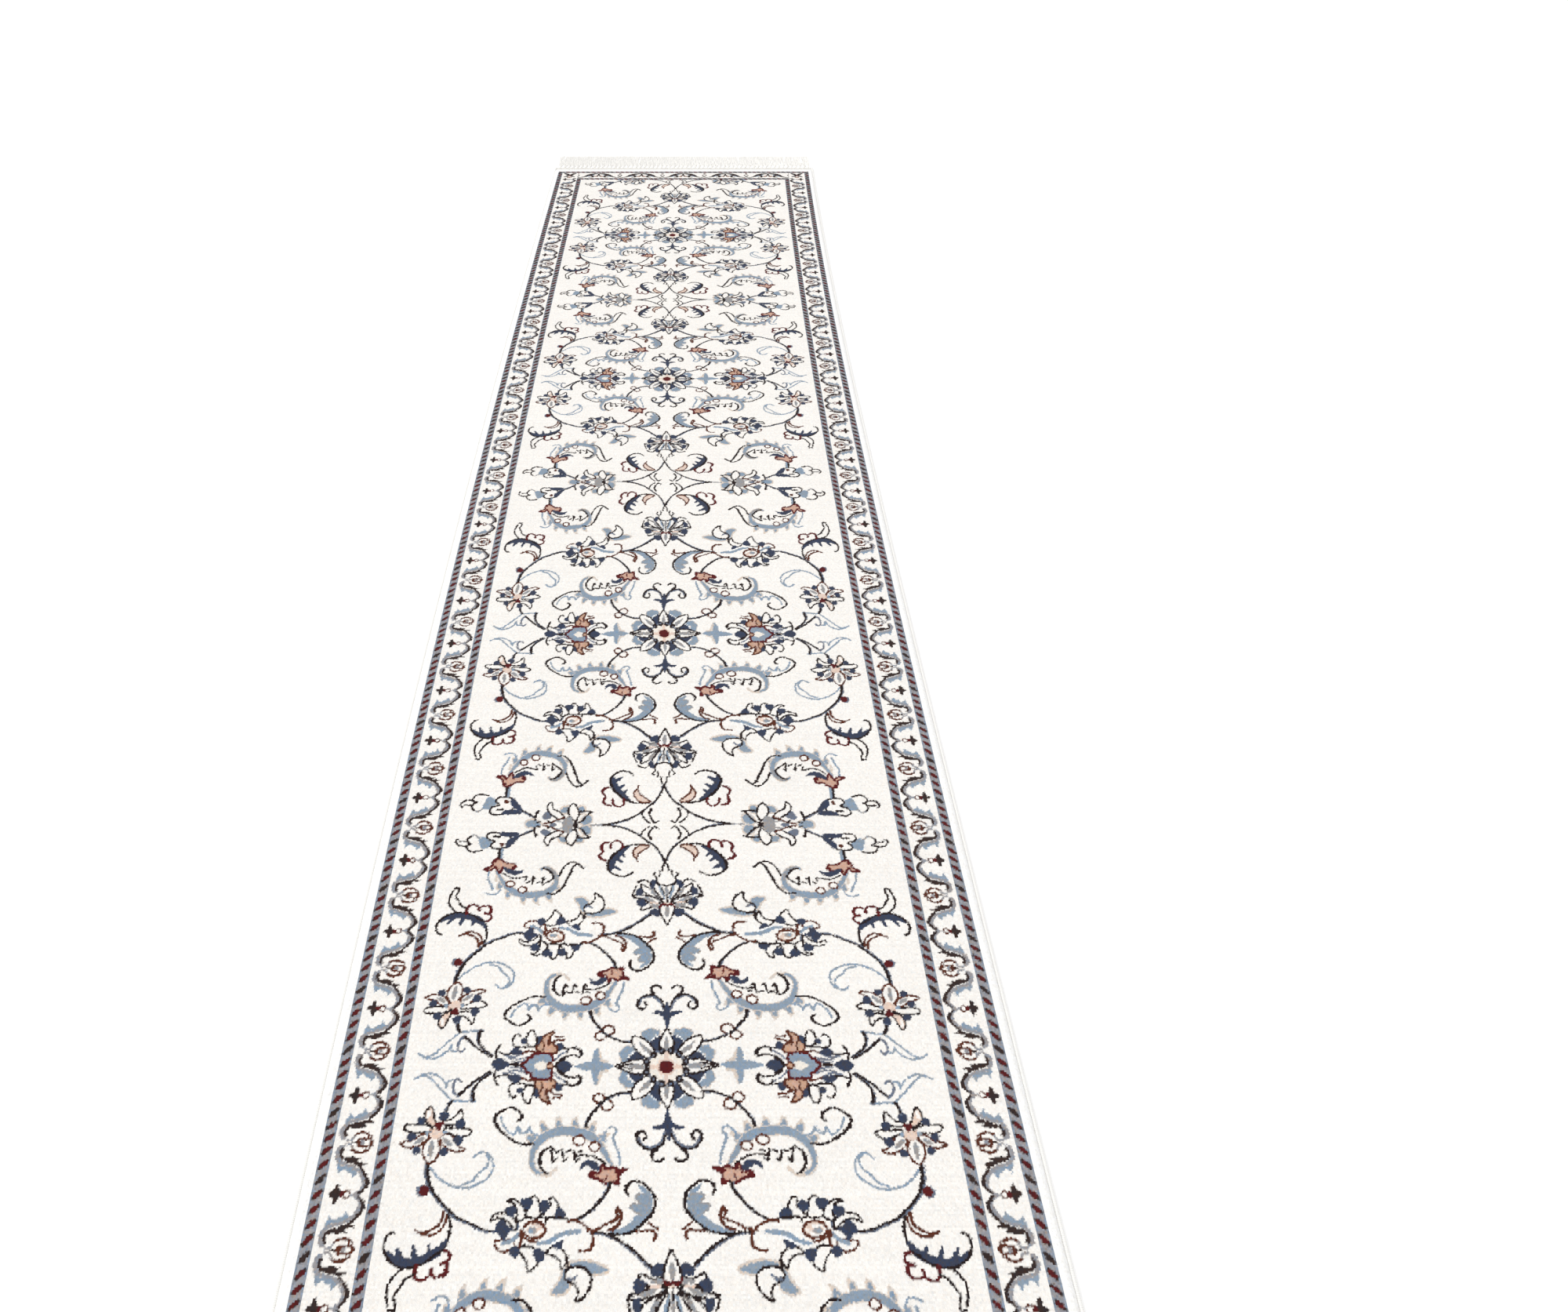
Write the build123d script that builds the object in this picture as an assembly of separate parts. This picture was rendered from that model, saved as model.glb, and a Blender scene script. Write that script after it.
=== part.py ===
"""A hand-knotted runner rug: woven foundation, bands of knotted pile, corded side edges and fringed ends.

The origin is at the centre of the underside, +Y runs along the rug, +X across it and +Z is up out of
the pile. The rug folds in half across its middle, pile against pile, so everything that runs the
whole length is made as a near half (-Y) and a far half (+Y). Sizes are in millimetres.
"""
from build123d import *
import os

# The pattern's repeat sets the length of the field, and the bands round it set the rest.
REPEAT_LENGTH = 720.0
REPEATS_PER_HALF = 2
FIELD_WIDTH = 564.0

# Bands of pile from the field outwards: name, width along the sides, width across the ends.
PILE_BANDS = (
    ("inner_guard", 12.0, 10.0),
    ("main_border", 44.0, 40.0),
    ("outer_guard", 12.0, 10.0),
    ("plain_edge", 11.0, 15.0),
)

# Heights: the woven foundation lies on the floor and the pile stands on it.
FOUNDATION_THICKNESS = 2.5
PILE_HEIGHT = 6.5

# Side edges: a bundle of warps as the core, wrapped all along in wool.
SELVEDGE_DIAMETER = 5.0
SELVEDGE_CORE_DIAMETER = 3.0
SELVEDGE_CORE_CLEARANCE = 0.05

# Ends: a flat-woven skirt, a chain-stitched row that locks it, and the knotted warp ends.
KILIM_LENGTH = 30.0
CHAIN_STITCH_WIDTH = 3.0
CHAIN_STITCH_HEIGHT = 3.0
FRINGE_LENGTH = 100.0
TASSEL_PITCH = 12.0
TASSEL_THICKNESS = 2.0
TASSEL_ROOT_WIDTH = 3.0
TASSEL_TIP_WIDTH = 8.0
TASSEL_KNOT_DIAMETER = 5.0

# The two halves stand this far apart across the fold line.
FOLD_GAP = 0.3

FIELD_HALF_LENGTH = REPEAT_LENGTH * REPEATS_PER_HALF
BAND_SIDE_TOTAL = sum(side for name, side, end in PILE_BANDS)
BAND_END_TOTAL = sum(end for name, side, end in PILE_BANDS)
CLOTH_HALF_WIDTH = FIELD_WIDTH / 2 + BAND_SIDE_TOTAL
PILE_HALF_LENGTH = FIELD_HALF_LENGTH + BAND_END_TOTAL
KILIM_END = PILE_HALF_LENGTH + KILIM_LENGTH

# Which way along Y each half lies from the fold line.
HALVES = {"near": -1, "far": 1}
SIDES = {"left": -1, "right": 1}

os.makedirs("parts", exist_ok=True)


def save(node, shape):
    """Writes one node's solids to its own STEP file."""
    shape.label = node
    export_step(shape, f"parts/{node}.step")


def slab(x_from, x_to, y_from, y_to, z_from, z_to):
    """A closed rectangular block between two corners, given in either order."""
    size = (abs(x_to - x_from), abs(y_to - y_from), abs(z_to - z_from))
    centre = ((x_from + x_to) / 2, (y_from + y_to) / 2, (z_from + z_to) / 2)
    return Pos(*centre) * Box(*size)


def pile_slab(x_from, x_to, y_from, y_to):
    """A block of pile standing on the foundation."""
    return slab(x_from, x_to, y_from, y_to, FOUNDATION_THICKNESS, FOUNDATION_THICKNESS + PILE_HEIGHT)


def make_foundation(half, along):
    """The cotton warps and wefts that every knot is tied on, from the fold line to the last row of pile."""
    cloth = slab(
        -CLOTH_HALF_WIDTH,
        CLOTH_HALF_WIDTH,
        along * FOLD_GAP / 2,
        along * PILE_HALF_LENGTH,
        0,
        FOUNDATION_THICKNESS,
    )
    save(f"foundation_{half}", cloth)


def make_field(half, along):
    """The field's knotted pile, one block for each repeat of the pattern, counted from the fold line."""
    for repeat in range(REPEATS_PER_HALF):
        start = max(repeat * REPEAT_LENGTH, FOLD_GAP / 2)
        finish = (repeat + 1) * REPEAT_LENGTH
        block = pile_slab(-FIELD_WIDTH / 2, FIELD_WIDTH / 2, along * start, along * finish)
        save(f"field_pile_{half}_{repeat + 1}", block)


def make_bands(half, along):
    """The borders and guards: each has two long sides that hold the corners, and an end between them."""
    inner_x = FIELD_WIDTH / 2
    inner_y = FIELD_HALF_LENGTH
    for name, side_width, end_width in PILE_BANDS:
        outer_x = inner_x + side_width
        outer_y = inner_y + end_width
        for side, across in SIDES.items():
            strip = pile_slab(across * inner_x, across * outer_x, along * FOLD_GAP / 2, along * outer_y)
            save(f"{name}_{side}_{half}", strip)
        end = pile_slab(-inner_x, inner_x, along * inner_y, along * outer_y)
        save(f"{name}_end_{half}", end)
        inner_x = outer_x
        inner_y = outer_y


def lengthwise_rod(diameter, x, z, y_from, y_to):
    """A round rod lying along Y between two places."""
    rod = Cylinder(radius=diameter / 2, height=abs(y_to - y_from))
    return Pos(x, (y_from + y_to) / 2, z) * Rot(90, 0, 0) * rod


def make_selvedges(half, along):
    """Each side edge: a core of bundled warps inside a sleeve of wool wrapping."""
    for side, across in SIDES.items():
        place = (
            across * (CLOTH_HALF_WIDTH + SELVEDGE_DIAMETER / 2),
            SELVEDGE_DIAMETER / 2,
            along * FOLD_GAP / 2,
            along * KILIM_END,
        )
        bore_diameter = SELVEDGE_CORE_DIAMETER + 2 * SELVEDGE_CORE_CLEARANCE
        wrap = lengthwise_rod(SELVEDGE_DIAMETER, *place) - lengthwise_rod(bore_diameter, *place)
        save(f"selvedge_wrap_{side}_{half}", wrap)
        save(f"selvedge_core_{side}_{half}", lengthwise_rod(SELVEDGE_CORE_DIAMETER, *place))


def make_end_finish(half, along):
    """The flat-woven skirt past the pile, and the chain-stitched row that stops it unravelling."""
    kilim = slab(
        -CLOTH_HALF_WIDTH,
        CLOTH_HALF_WIDTH,
        along * PILE_HALF_LENGTH,
        along * KILIM_END,
        0,
        FOUNDATION_THICKNESS,
    )
    save(f"kilim_skirt_{half}", kilim)
    stitch = slab(
        -CLOTH_HALF_WIDTH,
        CLOTH_HALF_WIDTH,
        along * KILIM_END,
        along * (KILIM_END + CHAIN_STITCH_WIDTH),
        0,
        CHAIN_STITCH_HEIGHT,
    )
    save(f"chain_stitch_{half}", stitch)


def tassel(length):
    """One bundle of warp ends along +Y from the origin: a knot, then a strand that spreads to its tip."""
    root = TASSEL_ROOT_WIDTH / 2
    tip = TASSEL_TIP_WIDTH / 2
    outline = make_face(Polyline((-root, 0), (root, 0), (tip, length), (-tip, length), close=True))
    strand = extrude(outline, amount=TASSEL_THICKNESS)
    knot_radius = TASSEL_KNOT_DIAMETER / 2
    knot = Pos(0, knot_radius, knot_radius) * Sphere(knot_radius)
    return strand + knot


def make_fringe(half, along):
    """The warp ends, knotted in bundles at an even pitch all across the end and lying on the floor."""
    count = int(2 * CLOTH_HALF_WIDTH // TASSEL_PITCH)
    root_y = along * (KILIM_END + CHAIN_STITCH_WIDTH)
    turn = 0 if along > 0 else 180
    bundle = tassel(FRINGE_LENGTH - CHAIN_STITCH_WIDTH)
    places = [(index - (count - 1) / 2) * TASSEL_PITCH for index in range(count)]
    tassels = [Pos(x, root_y, 0) * Rot(0, 0, turn) * bundle for x in places]
    save(f"fringe_{half}", Compound(children=tassels))


for half_name, direction in HALVES.items():
    make_foundation(half_name, direction)
    make_field(half_name, direction)
    make_bands(half_name, direction)
    make_selvedges(half_name, direction)
    make_end_finish(half_name, direction)
    make_fringe(half_name, direction)
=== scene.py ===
import math

import bmesh
import bpy
import numpy as np
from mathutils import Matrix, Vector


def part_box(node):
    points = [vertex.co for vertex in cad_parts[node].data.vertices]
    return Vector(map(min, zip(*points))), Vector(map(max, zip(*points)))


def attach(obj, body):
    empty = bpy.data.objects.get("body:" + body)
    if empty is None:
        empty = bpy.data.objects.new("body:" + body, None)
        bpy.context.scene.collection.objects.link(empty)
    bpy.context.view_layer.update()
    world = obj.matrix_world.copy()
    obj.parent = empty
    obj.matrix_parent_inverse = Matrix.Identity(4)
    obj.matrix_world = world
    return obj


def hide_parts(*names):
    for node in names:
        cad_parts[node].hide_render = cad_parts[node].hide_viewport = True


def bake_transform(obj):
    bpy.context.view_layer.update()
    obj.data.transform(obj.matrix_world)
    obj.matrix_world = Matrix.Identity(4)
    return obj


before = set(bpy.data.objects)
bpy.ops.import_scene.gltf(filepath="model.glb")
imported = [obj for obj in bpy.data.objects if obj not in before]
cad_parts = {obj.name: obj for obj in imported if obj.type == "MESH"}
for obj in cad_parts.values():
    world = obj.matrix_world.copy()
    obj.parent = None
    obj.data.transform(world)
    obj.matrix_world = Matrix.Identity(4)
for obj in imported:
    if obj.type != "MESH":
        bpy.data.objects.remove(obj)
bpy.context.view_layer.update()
scene = bpy.context.scene


# ---- Camera ----
# A standing person's view down the length of the runner, a little to the right of its middle.
EYE = (0.0062, -1.668, 1.122)
LOOKS_DOWN = math.radians(43)

camera = bpy.data.objects.new("camera", bpy.data.cameras.new("camera"))
camera.location = EYE
camera.rotation_euler = (math.pi / 2 - LOOKS_DOWN, 0, 0)
camera.data.sensor_width = 36
camera.data.lens = 25.4
camera.data.shift_x = 0.0663
scene.collection.objects.link(camera)
scene.camera = camera


# ---- Studio ----
# A white floor under an even white sky, with one broad soft lamp from the left to show the pile.
FLOOR_SIZE = 40.0
FLOOR_DEPTH = 0.0004
SKY_STRENGTH = 0.86
LAMP_STRENGTH = 1.15
LAMP_SOFTNESS = math.radians(24)
LAMP_LEANS = (math.radians(20), math.radians(-42), 0)

scene.view_settings.view_transform = "Standard"
world = bpy.data.worlds.new("studio_sky")
world.use_nodes = True
world.node_tree.nodes["Background"].inputs["Color"].default_value = (1, 1, 1, 1)
world.node_tree.nodes["Background"].inputs["Strength"].default_value = SKY_STRENGTH
scene.world = world

lamp = bpy.data.objects.new("soft_lamp", bpy.data.lights.new("soft_lamp", "SUN"))
lamp.data.energy = LAMP_STRENGTH
lamp.data.angle = LAMP_SOFTNESS
lamp.rotation_euler = LAMP_LEANS
scene.collection.objects.link(lamp)

floor_shape = bmesh.new()
bmesh.ops.create_grid(floor_shape, x_segments=1, y_segments=1, size=FLOOR_SIZE / 2)
bmesh.ops.translate(floor_shape, vec=(0, 0, -FLOOR_DEPTH), verts=floor_shape.verts)
floor = bpy.data.objects.new("floor", bpy.data.meshes.new("floor"))
floor_shape.to_mesh(floor.data)
floor_shape.free()
white_paint = bpy.data.materials.new("white_floor")
white_paint.use_nodes = True
for socket, value in (
    ("Base Color", (0.95, 0.95, 0.95, 1)),
    ("Roughness", 0.9),
    ("Specular IOR Level", 0.1),
    ("Emission Color", (1, 1, 1, 1)),
    ("Emission Strength", 0.12),
):
    white_paint.node_tree.nodes["Principled BSDF"].inputs[socket].default_value = value
floor.data.materials.append(white_paint)
scene.collection.objects.link(floor)


# ---- The weaver's cartoon ----
# The squared-paper drawing that says which dyed yarn each knot is tied in. Lengths in it are in
# millimetres. The weaver turns it over at the rug's middle line and at every half repeat.
YARNS = {
    "ivory": (0.957, 0.942, 0.922),
    "cream": (0.930, 0.902, 0.862),
    "charcoal": (0.172, 0.138, 0.136),
    "umber": (0.228, 0.186, 0.178),
    "navy": (0.242, 0.268, 0.340),
    "sky": (0.540, 0.600, 0.665),
    "slate": (0.425, 0.452, 0.510),
    "mist": (0.548, 0.582, 0.632),
    "lilac": (0.580, 0.578, 0.596),
    "grey": (0.590, 0.585, 0.590),
    "beige": (0.835, 0.785, 0.740),
    "blush": (0.880, 0.790, 0.735),
    "terracotta": (0.785, 0.640, 0.570),
    "clay": (0.760, 0.615, 0.525),
    "rust": (0.350, 0.200, 0.155),
    "burgundy": (0.350, 0.138, 0.142),
    "white": (0.990, 0.985, 0.975),
}
SCREEN_GAMMA = 2.2
YARN_NUMBER = {name: number for number, name in enumerate(YARNS)}
DYED = np.array(list(YARNS.values())) ** SCREEN_GAMMA


def smooth(points, closed=False, steps=6):
    """A curve through the points, by Catmull and Rom's formula, as a closely spaced polyline."""
    p = np.array(points, float)
    if closed:
        p = np.vstack([p[-1], p, p[:2]])
    else:
        p = np.vstack([2 * p[0] - p[1], p, 2 * p[-1] - p[-2]])
    t = np.linspace(0, 1, steps, endpoint=False)[:, None]
    spans = [
        0.5 * (2 * b + (c - a) * t + (2 * a - 5 * b + 4 * c - d) * t**2 + (3 * b - a - 3 * c + d) * t**3)
        for a, b, c, d in zip(p[:-3], p[1:-2], p[2:-1], p[3:])
    ]
    return np.vstack(spans + [p[-2:-1]])


class Cartoon:
    """A weaver's squared-paper drawing: every knot's place and the yarn it is tied in. Wool swells, so
    each line is a little wider than drawn, and broader adds to both its sides, knot by knot."""

    swell = 0.6
    halo_width = 4.0
    band_halo = 2.2
    vine_shift = 0.9
    vine_core = 0.8

    def __init__(self, x, y, ground="ivory", broader=0.0):
        self.x = x.ravel()
        self.y = y.ravel()
        self.broader = np.broadcast_to(broader, x.shape).ravel()
        self.yarn = np.full(self.x.size, YARN_NUMBER[ground])

    def near(self, curve, reach):
        """The knots in the box round a curve, with a margin."""
        low = curve.min(0) - reach
        high = curve.max(0) + reach
        inside = (self.x > low[0]) & (self.x < high[0]) & (self.y > low[1]) & (self.y < high[1])
        return np.nonzero(inside)[0]

    def fill(self, yarn, points, rounded=True):
        """Ties every knot inside a closed outline in one yarn."""
        curve = smooth(points, closed=True) if rounded else np.array(points + points[:1], float)
        knots = self.near(curve, 0)
        inside = np.zeros(knots.size, bool)
        for (x1, y1), (x2, y2) in zip(curve[:-1], curve[1:]):
            if y1 != y2:
                crosses = (self.y[knots] < y1) != (self.y[knots] < y2)
                edge_x = x1 + (self.y[knots] - y1) * (x2 - x1) / (y2 - y1)
                inside ^= crosses & (self.x[knots] < edge_x)
        self.yarn[knots[inside]] = YARN_NUMBER[yarn]

    def line(self, yarn, points, width=2.0, closed=False):
        """Ties the knots along a smooth curve. Widths, one or several, are spread evenly along it."""
        curve = smooth(points, closed)
        widths = np.atleast_1d(width) + self.swell
        along = np.linspace(0, 1, len(curve))
        half = np.interp(along, np.linspace(0, 1, widths.size), widths) / 2
        knots = self.near(curve, half.max() + self.broader.max(initial=0))
        place = np.stack([self.x[knots], self.y[knots]], 1)
        hit = np.zeros(knots.size, bool)
        for a, b, ra, rb in zip(curve[:-1], curve[1:], half[:-1], half[1:]):
            step = b - a
            t = np.clip((place - a) @ step / max(step @ step, 1e-9), 0, 1)
            gap = np.linalg.norm(place - a - t[:, None] * step, axis=1)
            hit |= gap <= ra + t * (rb - ra) + self.broader[knots]
        self.yarn[knots[hit]] = YARN_NUMBER[yarn]

    def lines(self, yarn, strokes):
        """Several curves in one yarn, each given as its points and its widths."""
        for points, width in strokes:
            self.line(yarn, points, width)

    def patch(self, yarn, points, edge=None, width=2.0, halo=None):
        """A filled outline with an edge in another yarn, and a paler halo if it has one."""
        if halo:
            self.line(halo, points, self.halo_width, closed=True)
        self.fill(yarn, points)
        if edge:
            self.line(edge, points, width, closed=True)

    def dot(self, yarn, x, y, rx, ry=None):
        """A round or oval spot."""
        ry = ry or rx
        inside = ((self.x - x) / rx) ** 2 + ((self.y - y) / ry) ** 2 <= 1
        self.yarn[inside] = YARN_NUMBER[yarn]

    def dots(self, yarn, places, rx, ry=None):
        for x, y in places:
            self.dot(yarn, x, y, rx, ry)

    def petals(self, yarn, edge, outlines, width=1.8):
        """Several filled outlines alike."""
        for outline in outlines:
            self.patch(yarn, outline, edge, width)

    def band(self, yarn, points, widths, halo):
        """A broad stroke with a paler one showing along both its sides."""
        self.line(halo, points, np.array(widths) + self.band_halo)
        self.line(yarn, points, widths)

    def ring(self, edge, x, y, rx, ry=None, heart="ivory", width=2.0):
        """A spot with a heart in another yarn."""
        ry = ry or rx
        self.dot(edge, x, y, rx, ry)
        self.dot(heart, x, y, rx - width, ry - width)

    def vine(self, points, width=2.4):
        """A stem: a dark line with a slightly broader slate one lying against it."""
        self.line("slate", np.array(points) + self.vine_shift, width)
        self.line("charcoal", points, self.vine_core * np.array(width))


def both_sides(half):
    """A whole outline from the half of it on one side of the rug's middle line."""
    return half + [(-x, y) for x, y in reversed(half) if x]


def above_and_below(half):
    """A whole outline from the half of it above the star's row."""
    return half + [(x, -y) for x, y in reversed(half) if y]


def star(draw):
    """The eight-petalled rosette at the middle of a repeat."""
    lobes = [(12, 38.5), (17.5, 39.5), (22.5, 37), (18, 33), (36, 18), (41.5, 18.5), (45.5, 14), (44, 9)]
    draw.dots("beige", lobes, 5.6)
    draw.dots("sky", lobes, 4.6)
    draw.fill("navy", [(6, 35), (13, 33), (18, 27), (17, 19), (8, 18)])
    draw.fill("navy", [(21, 13), (31, 17), (36, 14), (41, 7), (28, 5)])
    draw.dots(
        "white",
        [(11, 34.5), (13.5, 33), (16, 31), (18.5, 28.5), (33, 17.5), (35.5, 15.5), (38, 13), (40, 10)],
        1.1,
    )
    north = both_sides([(0, 43), (4.5, 36), (7.5, 27), (6, 18), (0, 14)])
    diagonal = [(36.5, 34), (36.5, 26), (31, 17.5), (22, 10.5), (12.5, 12), (12.5, 18), (19, 27.5), (28, 33)]
    east = above_and_below([(22, 6.5), (32, 7.5), (41, 5.5), (48, 3), (54, 0)])
    draw.petals("ivory", "charcoal", (north, diagonal, east), 1.6)
    draw.lines("grey", [
        ([(0, 34), (0, 27), (0, 17)], [1, 4.6, 3]),
        ([(29, 27), (22, 20), (14, 14)], [1, 5, 4]),
        ([(41, 0), (33, 0), (25, 0)], [1, 5.6, 5]),
    ])
    draw.line("charcoal", [(36, 3.4), (43, 1.6), (50, 0.6)], 1.2)
    draw.dot("cream", 0, 0, 18, 16)
    draw.lines("blush", [
        ([(0, -15), (0, 15)], 4),
        ([(-16, 0), (16, 0)], 4),
    ])
    draw.dot("blush", 0, 0, 10, 9)
    draw.dots("charcoal", [(4.8, 17.8), (13.4, 13.6), (20.4, 5.2)], 4.0, 4.2)
    draw.dots("slate", [(4.8, 18.4), (13.8, 13), (21, 5.8)], 1.4, 1.6)
    draw.dots("slate", [(9, 16.8), (17.2, 9.6)], 1.8)
    draw.line("charcoal", [(17.6, 0), (17.6, 4)], 1.6)
    draw.fill("burgundy", both_sides([(3, 6.6), (7, 3.2), (7, -3.2), (3, -6.6)]))


def trunk(draw):
    """The stem above the star, with leaflets and two pairs of scrolls."""
    draw.fill("navy", both_sides([(0, 41), (2, 48), (4.2, 58), (3.4, 67), (0, 76)]))
    draw.fill("navy", [(2, 56), (9, 60), (17, 62), (11, 65), (2, 62)])
    draw.line("slate", [(4, 67), (8, 76), (15, 81), (22, 82), (28, 78.5), (30.5, 73)], 1.8)
    draw.lines("charcoal", [
        ([(3, 69), (6, 77), (13, 82.5), (21, 84), (28, 81), (32.5, 75), (32, 69), (28, 66.5), (24, 68),
          (23, 72), (25, 75)], [1.8, 1.8, 2, 3.2, 1.8, 2.4]),
        ([(12, 84), (16.5, 87), (17.5, 92), (14, 95), (10, 95.5), (6, 93)], [1.6, 3.2, 2, 1.8, 2.6]),
    ])


def fleur(draw):
    """The pale blue cross of leaves between the star and its side palmette."""
    draw.line("beige", [(63, 4.5), (69, 6.5), (71, 12), (74, 19)], 3)
    draw.lines("sky", [
        ([(57, 0), (66, 1.6), (75, 0), (86, 1.4), (98, 0)], [1.6, 5, 9, 6, 1.6]),
        ([(75, 2), (76, 11), (75, 18.5)], [9, 6, 3]),
    ])


def side_palmette(draw):
    """The big open flower beside the star, with its two flames."""
    draw.lines("slate", [
        ([(108, 17), (116, 12), (122, 6)], 1.4),
        ([(150, 9), (160, 6), (170, 7)], 1.4),
        ([(156, 13), (165, 9), (176, 10)], 1.4),
        ([(152, 5.5), (160, 3), (168, 3.5)], 1.2),
    ])
    draw.lines("charcoal", [
        ([(107, 16), (105, 20), (99, 20.5), (94, 18), (92, 13.5), (94, 9.5)], [2, 1.8, 1.8, 4, 1.8]),
        ([(94, 9.5), (98, 12), (104, 12), (111, 10), (116, 6), (119, 2)], 1.6),
    ])
    draw.patch("navy", above_and_below([(101, 0), (106, 5.5), (113, 6.5), (119, 0)]))
    draw.lines("charcoal", [
        ([(110, 8), (116, 5), (120, 0)], 2.0),
        ([(107, 20), (113, 20), (119, 17), (122, 14)], 1.6),
    ])
    draw.dot("navy", 116, 22.5, 4.4, 4.6)
    flame = [
        (120, 15), (119.5, 21), (123, 25), (122, 28.5), (126, 26), (128, 30), (126, 35), (124, 39.5),
        (130, 37.5), (135, 33.5), (138, 27), (141, 22), (140, 16.5), (131, 14),
    ]
    draw.patch("clay", flame, "rust", 2.0)
    draw.line("terracotta", [(129, 19), (131, 25), (131, 32)], [6, 5, 2])
    draw.lines("rust", [
        ([(112, 31), (115, 29.5), (119, 30), (122, 28)], 1.8),
        ([(113, 34), (118, 33), (122, 34)], 1.4),
        ([(127, 34), (129.5, 29), (128, 23)], 1.4),
        ([(136, 29), (133, 24), (134, 18)], 1.4),
    ])
    draw.fill("navy", [(136, 34), (141, 33), (145, 28.5), (142, 24), (138, 26)])
    draw.patch(
        "ivory",
        [(143, 22), (142.5, 30), (146, 39), (150.5, 39), (153.5, 31), (151, 23)],
        "charcoal", 1.6,
    )
    draw.dot("navy", 156, 27, 3.8, 3.4)
    draw.line(
        "charcoal",
        [(160, 33), (163, 35), (167, 32), (168.5, 27), (167, 22), (162, 20), (154, 20), (144, 21)],
        1.6,
    )
    draw.line("rust", [(141, 15.5), (149, 16), (156, 13.5)], 1.6)
    draw.fill("navy", [(156, 14), (161, 19), (167, 18), (171, 13), (164, 10.5)])
    draw.lines("charcoal", [
        ([(170, 12), (176, 11.5), (182, 13.5), (186, 12)], 1.6),
        ([(181, 22), (184, 17), (185, 12), (184, 7)], 2.2),
    ])
    heart = [
        (124, 0), (123, 7), (125, 13), (131, 14.5), (138, 14), (145, 13), (146, 9), (150, 7.5), (152, 4),
        (157, 0),
    ]
    draw.patch("sky", above_and_below(heart), "burgundy", 2.4)
    draw.line("cream", [(128, 0), (135, 1), (142, 0)], [5, 8, 2])
    draw.ring("rust", 125.5, 0, 4.4, 4.2, "clay")
    draw.line("charcoal", [(156, 0), (163, 1), (171, 0)], 1.6)
    draw.patch("navy", above_and_below([(170, 0), (176, 5.5), (183, 6.5), (189.5, 0)]))


def berry_vine(draw):
    """The beaded stem that leaves the star and carries the first leaf."""
    draw.ring("rust", 63.5, 41, 7.6, 6.6, "ivory", 2.4)
    draw.ring("rust", 72, 34, 7, 6, "ivory", 2.4)
    draw.vine(
        [(37, 27), (46, 27.5), (54, 30), (61, 33), (68, 37.5), (74, 44), (80, 51), (83.5, 57), (85, 63)],
        [2, 2.2, 2.4, 3, 4],
    )


def teeth(draw, places, yarn="sky", tip="beige"):
    """A leaf's serrations: each from a root to a pointed tip."""
    for root_x, root_y, tip_x, tip_y in places:
        lean = (root_x + 0.62 * (tip_x - root_x) + 1.5, root_y + 0.62 * (tip_y - root_y))
        draw.line(tip, [(root_x, root_y), lean, (tip_x, tip_y)], [11, 7, 1.4])
        draw.line(yarn, [(root_x, root_y), lean], [9, 3.4])


def inner_leaf(draw):
    """The long serrated leaf that curls below its crown flower, and the pale one that grows from it."""
    teeth(
        draw,
        [(71, 76, 61, 70), (80, 71, 75, 58), (96, 67, 95, 53), (112, 67, 113, 53), (126, 70, 131, 57),
         (136, 78, 145, 72)],
    )
    back = [
        (58, 99), (64, 90), (71, 80), (81, 72), (95, 68), (110, 67), (122, 70), (132, 77), (137, 86),
        (138.5, 97), (135, 105), (128, 109),
    ]
    draw.band("sky", back, [2.4, 5, 8, 8, 8, 7, 5, 3.4, 2.6], "beige")
    draw.line("beige", [(127, 109.5), (119, 109), (113, 103)], [2.5, 3])
    draw.lines("charcoal", [
        ([(121, 108.5), (126, 105.5), (129.5, 100), (130, 92), (127, 86.5), (121, 83), (116, 86)],
         [2, 2.6, 3, 2, 1.6]),
        ([(64, 99), (71, 94.5), (78, 91.5), (87, 90.5), (93, 91)], 1.6),
    ])
    for x in (95, 107, 118):
        draw.line("charcoal", [(x - 4, 94), (x - 1, 96.5), (x, 92), (x + 1.5, 86)], [1.4, 2.6, 1.8])
        draw.line("charcoal", [(x - 7, 86.5), (x - 3, 87.5)], 1.6)
    draw.ring("rust", 75.5, 82.5, 6.4, 5.6, "ivory", 2.3)
    draw.ring("rust", 91.5, 76.5, 7, 6, "ivory", 2.3)
    draw.line(
        "charcoal",
        [(138, 80.5), (147, 81), (156, 79), (165, 74), (174, 67.5), (180, 59), (179, 53), (172, 48),
         (165, 45), (158, 47), (153, 51.5), (152.5, 56), (156, 58)],
        [1.6, 1.8, 2, 2.8, 2.8, 1.8, 2, 3, 2],
    )
    draw.line(
        "sky",
        [(128, 72), (138, 71), (142, 68), (143.5, 64), (146.5, 69), (152, 70), (155, 64.5), (158.5, 71.5),
         (165, 69), (170.5, 63), (173.5, 55)],
        [1.6, 1.6, 2.8, 1.6, 1.8],
    )


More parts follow.
